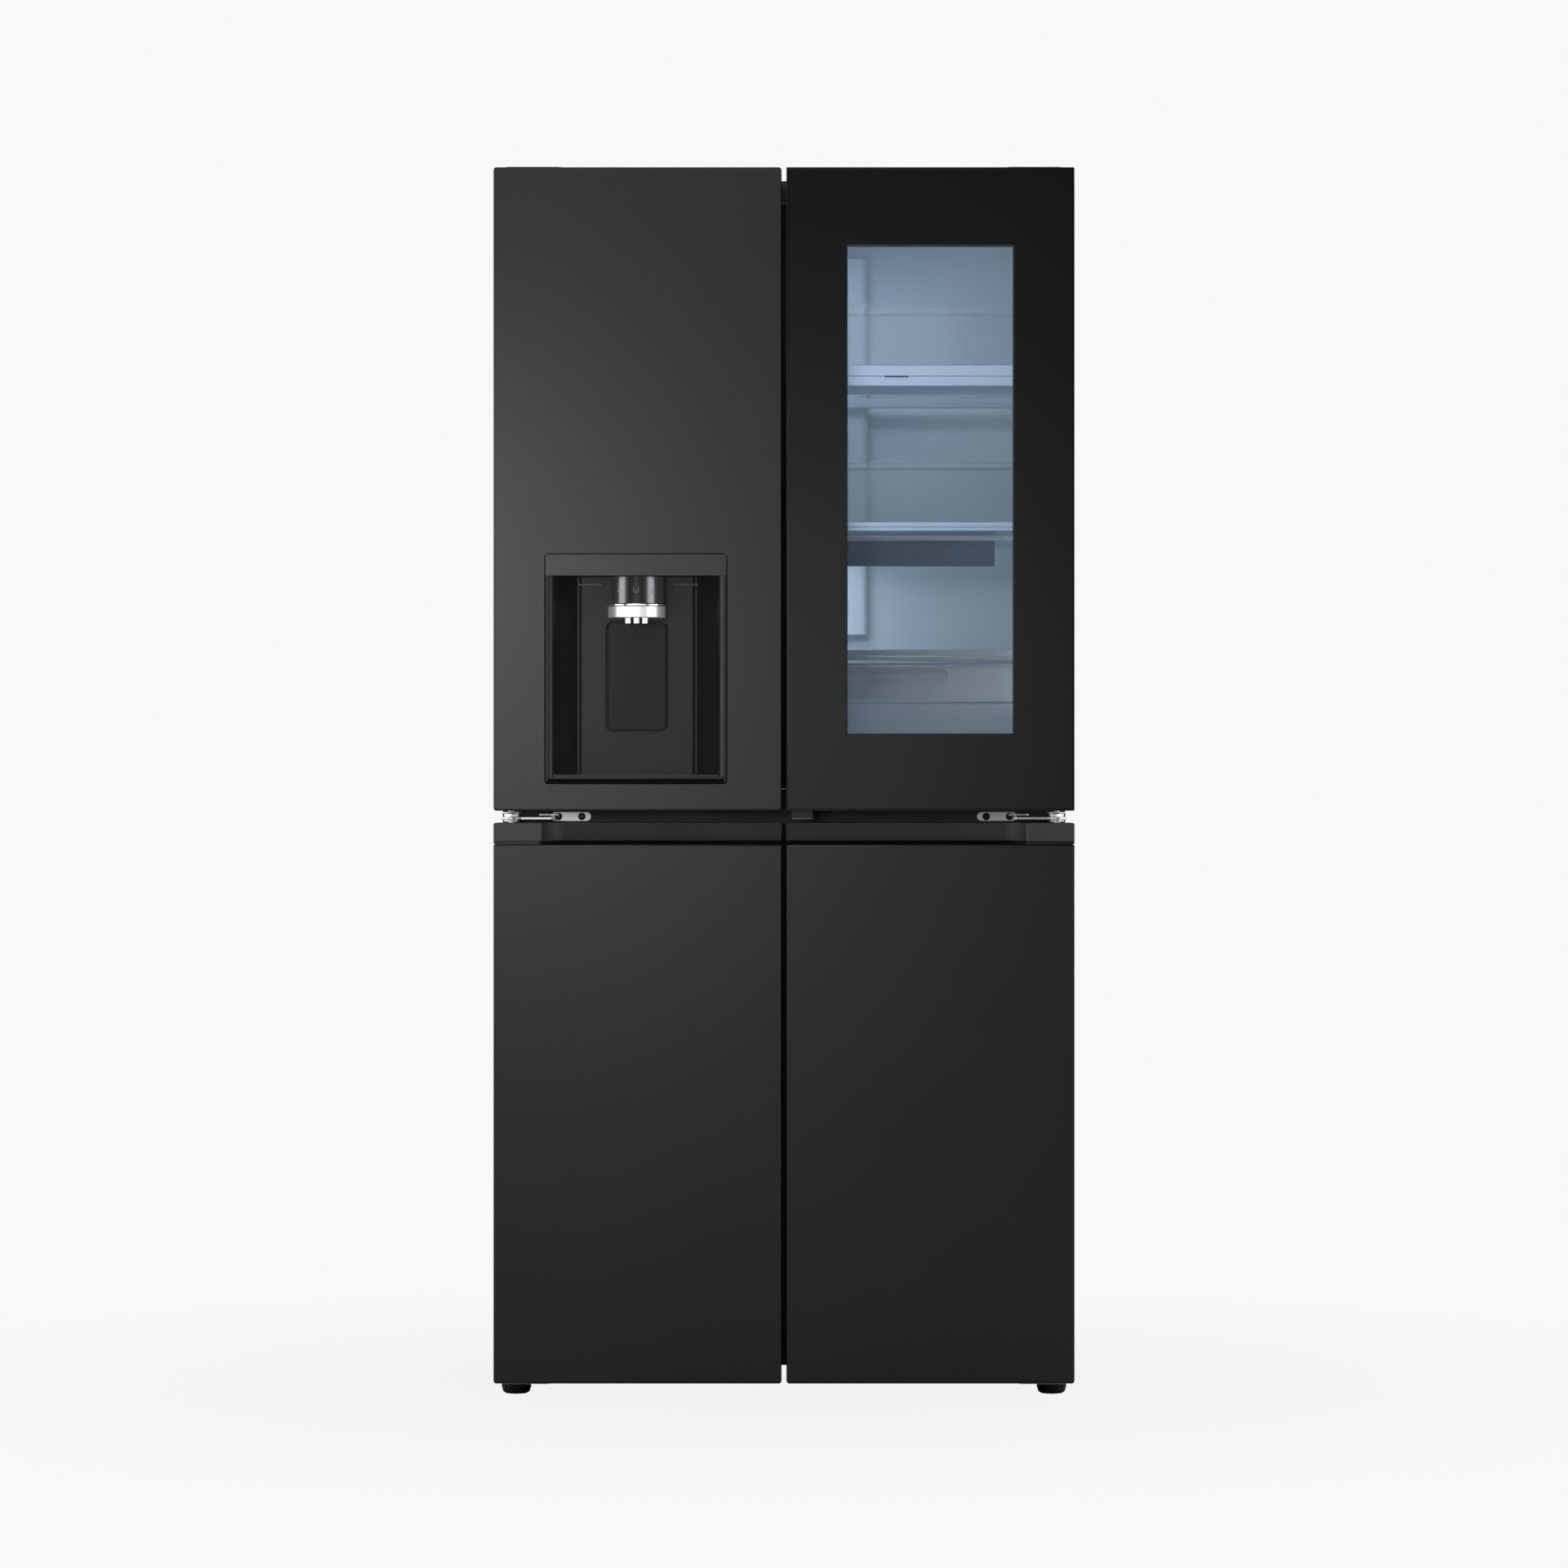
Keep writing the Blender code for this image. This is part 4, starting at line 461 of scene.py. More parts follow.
def frame_shape(low, high, y, steps):
    """A frame round low..high in X and Z: each step goes in by a width and towards -Y by a depth."""
    (x0, z0), (x1, z1) = low, high
    bm = bmesh.new()
    bmesh.ops.create_grid(bm, x_segments=1, y_segments=1, size=0.5)
    turn = Matrix.Translation(((x0 + x1) / 2, y, (z0 + z1) / 2)) @ Matrix.Rotation(math.pi / 2, 4, "X")
    stretch = Matrix.Diagonal((x1 - x0, z1 - z0, 1.0, 1.0))
    bmesh.ops.transform(bm, matrix=turn @ stretch, verts=bm.verts)
    bm.normal_update()
    face = next(iter(bm.faces))
    for inward, depth in steps:
        bmesh.ops.inset_region(
            bm, faces=[face], thickness=inward, depth=depth, use_even_offset=True, use_boundary=True
        )
    bmesh.ops.delete(bm, geom=[face], context="FACES_ONLY")
    bmesh.ops.bridge_loops(bm, edges=[e for e in bm.edges if e.is_boundary])
    return bm


def stepped(bm, face, low, high, rise):
    """Insets a +Y face, sets the new face's corners to low..high in X and Z, and raises it."""
    bmesh.ops.inset_region(bm, faces=[face], thickness=0.0005)
    middle = face.calc_center_median()
    for vert in face.verts:
        vert.co.x = high[0] if vert.co.x > middle.x else low[0]
        vert.co.z = high[1] if vert.co.z > middle.z else low[1]
    grown = bmesh.ops.extrude_face_region(bm, geom=[face])["geom"]
    bmesh.ops.delete(bm, geom=[face], context="FACES_ONLY")
    verts = [v for v in grown if isinstance(v, bmesh.types.BMVert)]
    bmesh.ops.translate(bm, vec=(0, rise, 0), verts=verts)
    return next(f for f in grown if isinstance(f, bmesh.types.BMFace))


def bin_shape(low, high, corner=0.014, draft=0.03, lip=0.003):
    """An open bin with drafted walls, a rounded floor edge and a rolled lip inside the box low..high."""
    low, high = Vector(low) + Vector((lip, lip, 0)), Vector(high) - Vector((lip, lip, 0))
    middle = (low + high) / 2
    bm = cube(low, high)
    round_off(bm, edges_along(bm, "Z"), corner, 5)
    bm.normal_update()
    top = max(bm.faces, key=lambda f: f.calc_center_median().z)
    bmesh.ops.delete(bm, geom=[top], context="FACES_ONLY")
    bottom = [v for v in bm.verts if v.co.z < middle.z]
    shrink = (1 - draft, 1 - draft, 1.0)
    bmesh.ops.scale(bm, vec=shrink, verts=bottom, space=Matrix.Translation(-middle))
    floor = [e for e in bm.edges if all(v.co.z < low.z + 1e-5 for v in e.verts)]
    round_off(bm, floor, corner * 0.5, 3)
    rim = [e for e in bm.edges if e.is_boundary]
    size = high - low
    wide = ((size.x + 2 * lip) / size.x, (size.y + 2 * lip) / size.y, 1.0)
    grown = bmesh.ops.extrude_edge_only(bm, edges=rim)["geom"]
    verts = [g for g in grown if isinstance(g, bmesh.types.BMVert)]
    bmesh.ops.scale(bm, vec=wide, verts=verts, space=Matrix.Translation(-middle))
    rim = [g for g in grown if isinstance(g, bmesh.types.BMEdge) and g.is_boundary]
    grown = bmesh.ops.extrude_edge_only(bm, edges=rim)["geom"]
    verts = [g for g in grown if isinstance(g, bmesh.types.BMVert)]
    bmesh.ops.translate(bm, vec=(0, 0, -2 * lip), verts=verts)
    return bm


def screw_head(place, radius, along="Y"):
    """A domed cross-head screw whose head faces -Y, or +Y for along='-Y'."""
    facing = -1 if along == "Y" else 1
    x, y, z = place
    profile = [(0.0, 0.55 * radius), (0.45 * radius, 0.5 * radius), (0.85 * radius, 0.3 * radius)]
    profile += [(radius, 0.08 * radius), (radius, -0.3 * radius), (0.0, -0.3 * radius)]
    head = turned(profile, (0, 0, 0), steps=24)
    arm, depth = 0.62 * radius, 0.2 * radius
    slots = [cube((-a, -b, depth), (a, b, radius)) for a, b in ((arm, 0.13 * radius), (0.13 * radius, arm))]
    bm = carved(head, *slots)
    bmesh.ops.rotate(
        bm, cent=(0, 0, 0), matrix=Matrix.Rotation(-facing * math.pi / 2, 3, "X"), verts=bm.verts
    )
    bmesh.ops.translate(bm, vec=(x, y, z), verts=bm.verts)
    return bm


# ---------------------------------------------------------------- doors


def front_edges(bm, front):
    return [e for e in sharp_edges(bm) if all(v.co.y < front + 1e-5 for v in e.verts)]


def outline(low, high, square_top):
    """A door's block, with its upper corners left square where something stands on it."""
    bm = cube(low, high)
    corners = edges_along(bm, "Y")
    if square_top:
        corners = [e for e in corners if e.verts[0].co.z < (low.z + high.z) / 2]
    return round_off(bm, corners, CORNER, 6)


def door_sheet(name, node, body, *openings, square_top=False):
    """Coated sheet folded round a door's front and sides, with its rolled front edge."""
    low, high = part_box(node)
    low.z, high.z = low.z + CAP_LINE, high.z - CAP_LINE
    bm = outline(low, high, square_top)
    round_off(bm, front_edges(bm, low.y), FRONT_EDGE, 4)
    inside = cube(low + Vector((SHEET, SHEET, -0.05)), high + Vector((-SHEET, 0.05, 0.05)))
    piece(name, carved(bm, inside, *openings), GRAPHITE, body, [node])


def door_body(name, node, body, *pockets, square_top=False):
    """Dark plastic inside the sheet: it shows as the end caps, and down the back of the sides."""
    low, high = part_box(node)
    side_low, side_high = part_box(node.replace("core", "skin"))
    low = Vector((side_low.x + HAIR, side_low.y + HAIR, low.z))
    high = Vector((side_high.x - HAIR, DOOR_BACK - 0.004, high.z))
    bm = outline(low, high, square_top)
    round_off(bm, front_edges(bm, low.y), FRONT_EDGE, 3)
    if pockets:
        bm = carved(bm, *pockets)
    piece(name, bm, DARK, body, [node])


def door_liner(name, core, body, rib_low, rib_high, wall=0.016):
    """Vacuum-formed liner: a flat rim under the seal, then a rib that goes into the compartment."""
    low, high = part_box(core)
    rise = high.y - DOOR_BACK
    bm = cube((low.x + 0.001, DOOR_BACK - 0.004, low.z + 0.001), (high.x - 0.001, DOOR_BACK, high.z - 0.001))
    bm.normal_update()
    face = max(bm.faces, key=lambda f: f.normal.y)
    face = stepped(bm, face, rib_low, rib_high, rise)
    taper = 0.004
    for vert in face.verts:
        vert.co.x += taper if vert.co.x < (rib_low[0] + rib_high[0]) / 2 else -taper
        vert.co.z += taper if vert.co.z < (rib_low[1] + rib_high[1]) / 2 else -taper
    inner_low = (rib_low[0] + wall, rib_low[1] + wall)
    inner_high = (rib_high[0] - wall, rib_high[1] - wall)
    stepped(bm, face, inner_low, inner_high, -(rise - 0.002))
    merged(bm)
    edges = [e for e in sharp_edges(bm) if all(v.co.y > DOOR_BACK - 0.001 for v in e.verts)]
    ribs = [e for e in edges if all(low.x + 0.004 < v.co.x < high.x - 0.004 for v in e.verts)]
    round_off(bm, ribs, 0.0045, 4)
    piece(name, bm, LINER, body)


def gasket(name, node, body, facing=1):
    """Magnetic seal: a flat root, pleated walls and a flat face, mitred at its corners."""
    low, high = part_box(node)
    y = low.y if facing > 0 else high.y
    steps = [(0.0005, 0.0035), (0.0030, 0.0002), (0.0006, -0.0016), (0.0006, 0.0034), (0.0006, -0.0012)]
    steps += [(0.0006, 0.0068), (0.0046, 0.0), (0.0006, -0.0068), (0.0006, 0.0012), (0.0006, -0.0034)]
    steps += [(0.0006, 0.0016), (0.0028, -0.0002), (0.0005, -0.0035)]
    bm = frame_shape((low.x, low.z), (high.x, high.z), y, steps)
    if facing > 0:
        bmesh.ops.scale(bm, vec=(1, -1, 1), verts=bm.verts, space=Matrix.Translation((0, -y, 0)))
    piece(name, bm, RUBBER, body, [node])


def hinge_pocket(side):
    """Room in the top outer corner of a fridge door for the hinge arm."""
    x = side * 0.370
    return cube((x, FRONT + 0.012, 1.7645), (side * 0.44, DOOR_BACK + 0.05, 1.80))


def finger_pocket(side, z0, z1):
    near = abs(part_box("left_door_skin")[1].x) + 0.026
    far = DOOR_SIDE - 0.092
    return slab((side * near, FRONT + 0.0045, z0), (side * far, FRONT + 0.021, z1), 0.006, "Z")


def left_door_shell():
    low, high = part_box("dispenser_housing")
    gap = 0.0014
    span = (low.x - gap, FRONT - 0.02, low.z - gap), (high.x + gap, high.y + 0.001, high.z + gap)
    openings = [slab(*span, 0.0055, "Y") for _ in range(2)]
    door_sheet("left_door_sheet", "left_door_skin", "left_door", openings[0], hinge_pocket(-1))
    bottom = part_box("left_door_core")[0].z
    door_body(
        "left_door_body",
        "left_door_core",
        "left_door",
        openings[1],
        hinge_pocket(-1),
        finger_pocket(-1, bottom - 0.01, bottom + 0.022),
    )
    door_liner("left_door_liner", "left_door_core", "left_door", (-0.3545, 0.8943), (-0.058, 1.720))
    gasket("left_door_seal", "left_door_gasket", "left_door")


def freezer_doors():
    for name, side in SIDES:
        body = f"freezer_door_{name}"
        door_sheet(f"{body}_sheet", f"freezer_door_skin_{name}", body, square_top=True)
        core = f"freezer_door_core_{name}"
        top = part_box(core)[1].z
        door_body(f"{body}_body", core, body, finger_pocket(side, top - 0.022, top + 0.01), square_top=True)
        spans = sorted((side * 0.042, side * 0.3545))
        door_liner(f"{body}_liner", core, body, (spans[0], 0.0956), (spans[1], 0.7863))
        gasket(f"{body}_seal", f"freezer_door_gasket_{name}", body)
        grip_cap(name, side)


def scooped(side, set_back, bottom, top):
    """The grip cap's body between two heights: its front sweeps back from the hinge end and leans under."""
    low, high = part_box(f"freezer_grip_cap_{'left' if side < 0 else 'right'}")
    start, run, depth, lean = 0.0675, 0.044, 0.020, 0.006
    front = low.y + set_back
    bm = bmesh.new()
    bmesh.ops.create_grid(bm, x_segments=200, y_segments=1, size=0.5)
    stretch = Matrix.Diagonal((high.x - low.x, high.y - front, 1.0, 1.0))
    place = Matrix.Translation(((low.x + high.x) / 2, (front + high.y) / 2, bottom))
    bmesh.ops.transform(bm, matrix=place @ stretch, verts=bm.verts)
    far = max(abs(low.x), abs(high.x))
    for vert in bm.verts:
        if vert.co.y < front + 1e-5:
            share = min(1.0, max(0.0, (far - abs(vert.co.x) - start) / run))
            vert.co.y += depth * (1 - (1 - share) ** 2)
    raised(bm, top - bottom)
    for vert in bm.verts:
        if vert.co.z < bottom + 1e-5 and vert.co.y < front + depth + 1e-5:
            vert.co.y += lean * (vert.co.y - front) / depth
    return merged(bm)


def grip_cap(name, side):
    """Dark grip along the top of a freezer door, over a shadow groove."""
    node = f"freezer_grip_cap_{name}"
    low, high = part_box(node)
    groove = low.z + 0.0045
    cap = scooped(side, 0.0, groove, high.z)
    outer = side * max(abs(low.x), abs(high.x))
    corner = [
        e
        for e in edges_along(cap, "Y")
        if all(abs(v.co.x - outer) < 1e-5 and v.co.z > high.z - 1e-5 for v in e.verts)
    ]
    round_off(cap, corner, CORNER, 5)
    round_off(cap, sharp_edges(cap, 55), 0.0010, 3)
    neck = scooped(side, 0.003, low.z, groove + 0.001)
    socket = rod((side * PIN_X, PIN_Y, high.z), 0.0056, 0.04, sides=24)
    piece(f"freezer_grip_{name}", carved(cap, socket), DARK, f"freezer_door_{name}", [node])
    piece(f"freezer_grip_neck_{name}", neck, DARK, f"freezer_door_{name}")


# ---------------------------------------------------------------- dispenser


def recess_shape(bottom, top):
    """The dispenser's hollow: rounded rims, slanting walls and a raised back panel."""
    low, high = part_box("dispenser_housing")
    middle = (low.x + high.x) / 2
    half, rim, lean = (high.x - low.x) / 2 - 0.0025, 0.012, math.radians(62)
    deep, panel = FRONT + 0.070, RECESS_BACK
    bm = bmesh.new()
    start = bm.verts.new((half, FRONT, bottom))
    bmesh.ops.spin(bm, geom=[start], cent=(half, FRONT + rim, bottom), axis=(0, 0, 1), angle=-lean, steps=12)
    bm.verts.ensure_lookup_table()
    last = min(bm.verts, key=lambda v: v.co.x)
    ahead = bm.verts.new((half, FRONT - 0.02, bottom))
    bm.edges.new((start, ahead))
    for x, y in ((0.0865, deep), (0.0840, deep), (0.0805, panel), (0.0, panel)):
        following = bm.verts.new((x, y, bottom))
        bm.edges.new((last, following))
        last = following
    bmesh.ops.mirror(bm, geom=bm.verts[:] + bm.edges[:], axis="X", merge_dist=0.00001)
    bmesh.ops.remove_doubles(bm, verts=bm.verts, dist=0.00001)
    ends = [v for v in bm.verts if len(v.link_edges) == 1]
    bm.edges.new(ends)
    bmesh.ops.contextual_create(bm, geom=bm.edges[:])
    raised(bm, top - bottom)
    bmesh.ops.translate(bm, vec=(middle, 0, 0), verts=bm.verts)
    return merged(bm)


def dispenser():
    low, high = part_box("dispenser_housing")
    bar_low, bar_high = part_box("dispenser_bar")
    paddle_low, paddle_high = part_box("dispenser_paddle")
    middle = (low.x + high.x) / 2
    floor, ceiling = low.z + 0.0045, bar_low.z
    panel = RECESS_BACK

    frame_bm = slab(low, high, 0.0046, "Y")
    round_off(frame_bm, front_edges(frame_bm, low.y), 0.0012, 3)
    half, gap = 0.042, 0.0035
    pocket = slab(
        (middle - half - gap, panel - 0.01, paddle_low.z - gap),
        (middle + half + gap, high.y - 0.003, paddle_high.z + gap),
        0.008 + gap,
        "Y",
    )
    seat = cube(
        (low.x - 0.01, FRONT - 0.01, bar_low.z - 0.0004), (high.x + 0.01, bar_high.y + 0.0004, high.z + 0.01)
    )
    lamps = [
        slab(
            (middle + x0, panel - 0.001, ceiling - 0.0125), (middle + x1, panel + 0.002, ceiling - 0.0090),
            0.0012, "Y",
        )
        for x0, x1 in ((-0.0885 + 0.002, -0.0497), (0.0515, 0.0910 - 0.002))
    ]
    hollow = recess_shape(floor, ceiling)
    sill_low = Vector((low.x + 0.0030, FRONT + 0.0006, low.z + 0.0010))
    sill_high = Vector((high.x - 0.0030, FRONT + 0.0040, low.z + 0.0064))
    sill_seat = cube(sill_low - Vector((0.0003, 0.01, 0.0003)), sill_high + Vector((0.0003, 0, 0.003)))
    # The sill's near-black finish is partly its own colour and partly painted shade for the shadow on the
    # recess's bottom lip.
    piece("dispenser_sill", slab(sill_low, sill_high, 0.0012, "X"), SILL_BLACK_AND_SHADE, "left_door")
    piece(
        "dispenser_frame",
        carved(frame_bm, hollow, pocket, seat, sill_seat, *lamps),
        RECESS,
        "left_door",
        ["dispenser_housing"],
    )
    lens = [
        slab(
            (middle + x0, panel + 0.0004, ceiling - 0.0120), (middle + x1, panel + 0.0018, ceiling - 0.0095),
            0.0010, "Y",
        )
        for x0, x1 in ((-0.0860, -0.0502), (0.0520, 0.0885))
    ]
    piece("dispenser_lamp_lenses", together(*lens), BAR, "left_door")

    bar_bm = slab(bar_low, bar_high, 0.0001, "Y")
    top_corners = [e for e in edges_along(bar_bm, "Y") if e.verts[0].co.z > bar_high.z - 0.001]
    round_off(bar_bm, top_corners, 0.0044, 6)
    round_off(bar_bm, front_edges(bar_bm, bar_low.y), 0.0009, 3)
    piece("dispenser_top_bar", bar_bm, BAR, "left_door", ["dispenser_bar"])

    nozzle(middle)

    tray_low, tray_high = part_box("drip_tray")
    tray = recess_shape(tray_low.z, tray_high.z)
    trim = [
        cube((low.x - 0.1, FRONT - 0.1, low.z - 0.1), (high.x + 0.1, FRONT + 0.004, high.z + 0.1)),
        cube((low.x - 0.1, panel - 0.001, low.z - 0.1), (high.x + 0.1, FRONT + 0.2, high.z + 0.1)),
    ]
    slots = [
        slab(
            (middle + i * 0.011 - 0.0025, FRONT + 0.012, tray_high.z - 0.004),
            (middle + i * 0.011 + 0.0025, panel - 0.010, tray_high.z + 0.02),
            0.002,
            "Z",
            steps=3,
        )
        for i in range(-7, 8)
    ]
    piece("dispenser_drip_tray", carved(tray, *trim, *slots), DARK, "left_door", ["drip_tray"])

    plate = slab(
        (middle - half, paddle_low.y, paddle_low.z),
        (middle + half, paddle_high.y, paddle_high.z),
        0.008,
        "Y",
        0.0007,
    )
    dimple = slab(
        (middle - 0.0125, paddle_low.y - 0.002, paddle_high.z - 0.0180),
        (middle + 0.0125, paddle_low.y + 0.0026, paddle_high.z - 0.0148),
        0.0009,
        "Y",
    )
    pin = rod((middle, (paddle_low.y + paddle_high.y) / 2, paddle_high.z - 0.004), 0.0017, 0.098, "X", 16)
    piece(
        "dispenser_push_plate", joined(carved(plate, dimple), pin), RECESS, "dispenser_paddle",
        ["dispenser_paddle"],
    )


def nozzle(middle):
    """Round spout housing with its disc, satin ring, three spouts and three small signs."""
    low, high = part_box("nozzle_body")
    ring_low, ring_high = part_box("nozzle_ring")
    centre = Vector((middle, low.y + 0.039, 0))
    behind = cube((middle - 0.1, high.y, low.z - 0.1), (middle + 0.1, high.y + 0.1, high.z + 0.1))
    housing = rod((*centre.xy, (low.z + high.z) / 2), 0.039, high.z - low.z, sides=96, edge=0.0008)
    piece("nozzle_housing", carved(housing, behind), GLOSS, "left_door", ["nozzle_body"])

    disc_z = ring_high.z - 0.0018
    disc = rod((*centre.xy, disc_z), 0.0455, 0.0036, sides=96, edge=0.0010)
    cut = [cube((middle - 0.1, high.y, 1.0), (middle + 0.1, high.y + 0.1, 1.3)) for _ in range(2)]
    piece("nozzle_disc", carved(disc, cut[0]), CHROME, "left_door", ["nozzle_ring"])
    collar = rod((*centre.xy, disc_z - 0.0018 - 0.0081), 0.041, 0.0162, sides=96, edge=0.0008)
    piece("nozzle_satin_ring", carved(collar, cut[1]), SATIN_RING, "left_door")
    spouts = []
    for i in (-1, 0, 1):
        outer = [
            (0.0, 0.002), (0.0044, 0.002), (0.0044, -0.0070), (0.0040, -0.0078), (0.0032, -0.0078),
            (0.0030, -0.004), (0.0, -0.004),
        ]
        spouts.append(turned(outer, (middle + i * 0.0125, centre.y - 0.020, ring_low.z + 0.0078), steps=24))
    piece("nozzle_spouts", together(*spouts), SATIN_RING, "left_door")

    marks = []
    for angle, kind in ((-42, "drop"), (0, "cup"), (36, "cube")):
        turn = Matrix.Rotation(math.radians(angle), 4, "Z")
        axis = Matrix.Translation((centre.x, centre.y, (low.z + high.z) / 2))
        front = axis @ turn @ Matrix.Translation((0, -0.03905, 0))
        marks.append(sign(kind, front))
    piece("nozzle_signs", together(*marks), ICON, "left_door")


def sign(kind, place):
    """A small raised sign: a drop, a cup or an ice cube."""
    shapes = []
    if kind == "drop":
        shapes.append(rod((0, 0, -0.002), 0.0016, 0.0003, "Y", 16))
        shapes.append(rod((0, 0, 0.0045), 0.0007, 0.0003, "Y", 12))
    elif kind == "cup":
        for x in (-0.0034, 0.0034):
            shapes.append(cube((x - 0.0003, -0.00015, -0.0035), (x + 0.0003, 0.00015, 0.0035)))
        shapes.append(cube((-0.0034, -0.00015, -0.0040), (0.0034, 0.00015, -0.0034)))
        shapes.append(rod((0, 0, -0.0012), 0.0009, 0.0003, "Y", 12))
    else:
        shapes.append(
            frame_shape(
                (-0.0024, -0.0044),
                (0.0024, 0.0004),
                0.00015,
                [(0.00001, 0.0003), (0.0005, 0.0), (0.00001, -0.0003)],
            ),
        )
        shapes.append(rod((0, 0, 0.0045), 0.0008, 0.0003, "Y", 12))
    bm = together(*shapes)
    bmesh.ops.transform(bm, matrix=place, verts=bm.verts)
    return bm


# ---------------------------------------------------------------- right fridge door


def window_span():
    low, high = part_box("window_unit")
    rebate = 0.010
    return (low.x + rebate, low.z + rebate), (high.x - rebate, high.z - rebate)


def right_door_front():
    low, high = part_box("outer_door_glass")
    (x0, z0), (x1, z1) = window_span()
    glass = slab(low, high, 0.0024, "Y")
    round_off(glass, front_edges(glass, low.y), 0.0009, 3)
    opening = cube((x0, low.y - 0.01, z0), (x1, high.y + 0.01, z1))
    piece("door_black_glass", carved(glass, opening), BLACK_GLASS, "outer_door", ["outer_door_glass"])

    pane = slab(
        (x0 + 0.0001, FRONT + 0.0002, z0 + 0.0001), (x1 - 0.0001, FRONT + 0.0038, z1 - 0.0001), edge=0.0004
    )
    piece("window_pane", pane, CLEAR_GLASS, "outer_door", ["window_unit"])
    unit_low, unit_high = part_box("window_unit")
    spacer = frame_shape(
        (unit_low.x, unit_low.z),
        (unit_high.x, unit_high.z),
        unit_high.y,
        [(0.0001, 0.0205), (0.0116, 0.0), (0.0001, -0.0205)],
    )
    piece("window_spacer", spacer, LIP_RUBBER, "outer_door")

    NODES["outer_door_frame"].data.materials[0] = FRAME_DARK.material
    gasket_between()
    button()


def gasket_between():
    low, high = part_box("outer_door_gasket")
    steps = [
        (0.0005, 0.0020), (0.0040, 0.0), (0.0006, 0.0040), (0.0056, 0.0), (0.0006, -0.0040), (0.0036, 0.0),
        (0.0005, -0.0020),
    ]
    bm = frame_shape((low.x, low.z), (high.x, high.z), low.y, steps)
    bmesh.ops.scale(bm, vec=(1, -1, 1), verts=bm.verts, space=Matrix.Translation((0, -low.y, 0)))
    piece("outer_door_seal", bm, LIP_RUBBER, "outer_door", ["outer_door_gasket"])


def button():
    low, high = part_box("release_button")
    body = slab(low, high, 0.002, "Y", 0.0006)
    piece("release_key", body, DARK, "release_button", ["release_button"])
    line = slab(
        (low.x + 0.001, low.y - 0.0002, low.z + 0.0006), (high.x - 0.001, low.y + 0.001, low.z + 0.0018),
        0.0006, "Y",
    )
    piece("release_key_line", line, GLOSS, "release_button")


def door_baskets():
    for level in ("upper", "middle", "lower"):
        node = f"right_door_basket_{level}"
        low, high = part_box(node)
        base = 0.030 if level == "upper" else 0.013
        parts = [
            slab((low.x, low.y, low.z + base / 2 - 0.001), (high.x, high.y, low.z + base), 0.006, "Z", 0.0015)
        ]
        parts.append(
            slab(
                (low.x + 0.001, low.y + 0.0022, low.z),
                (high.x - 0.001, high.y - 0.002, low.z + base / 2),
                0.006,
                "Z",
                0.0015,
            )
        )
        piece(f"door_bin_tray_{level}", together(*parts), TRAY, "right_door", [node])
        wall = bin_shape((low.x, low.y, low.z + base - 0.001), high, 0.010, 0.012, 0.002)
        piece(f"door_bin_wall_{level}", wall, CLEAR_PLASTIC, "right_door", wall=0.002)
        if level == "upper":
            z = low.z + base / 2 - 0.0022
            tab = slab(
                (low.x + 0.085, low.y - 0.0006, z), (low.x + 0.120, low.y + 0.004, z + 0.0018), 0.0006, "Y"
            )
            piece("door_bin_tab_upper", tab, SCREW, "right_door")


# ---------------------------------------------------------------- left door's inside


def ice_maker():
    low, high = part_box("ice_box")
    face = high.y - 0.008
    body = slab(low, (high.x, face, high.z), 0.014, "Z", 0.004)
    piece("ice_box_body", body, LINER, "left_door", ["ice_box"])
    lid = slab(
        (low.x + 0.010, face + 0.0006, low.z + 0.060), (high.x - 0.010, high.y, high.z - 0.012), 0.010, "Y",
        0.003,
    )
    grip = slab(
        (low.x + 0.020, high.y - 0.004, low.z + 0.190), (low.x + 0.042, high.y + 0.02, low.z + 0.300), 0.008,
        "Y",
    )
    piece("ice_box_lid", carved(lid, grip), FROST, "left_door")
    latch = slab(
        (low.x + 0.023, high.y - 0.0040, low.z + 0.196), (low.x + 0.039, high.y + 0.0035, low.z + 0.294),
        0.006, "Y", 0.002,
    )
    piece("ice_box_latch", latch, TRIM, "left_door")
    vents = [
        slab(
            (low.x + 0.060 + i * 0.018, face - 0.002, low.z + 0.018),
            (low.x + 0.070 + i * 0.018, face + 0.0012, low.z + 0.046), 0.004, "Y",
        )
        for i in range(9)
    ]
    piece("ice_box_vents", together(*vents), SCREW, "left_door")


def left_bin():
    low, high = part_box("left_door_basket")
    wall = bin_shape(low, high, 0.016, 0.02, 0.003)
    piece("left_door_bin", wall, CLEAR_PLASTIC, "left_door", ["left_door_basket"], wall=0.0025)
    trim = slab(
        (low.x + 0.004, high.y - 0.006, high.z - 0.018), (high.x - 0.004, high.y + 0.0005, high.z - 0.004),
        0.003, "X", 0.001,
    )
    piece("left_door_bin_trim", trim, FROST, "left_door")


def flap():
    low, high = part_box("centre_flap")
    NODES["centre_flap"].data.materials[0] = DARK.material
    lip = slab(
        (high.x - 0.004, low.y + 0.0006, low.z - 0.0055), (0.0065, low.y + 0.0026, high.z + 0.0055), 0.0008,
        "Z",
    )
    piece("flap_lip", lip, LIP_RUBBER, "centre_flap")


# ---------------------------------------------------------------- inside the cabinet


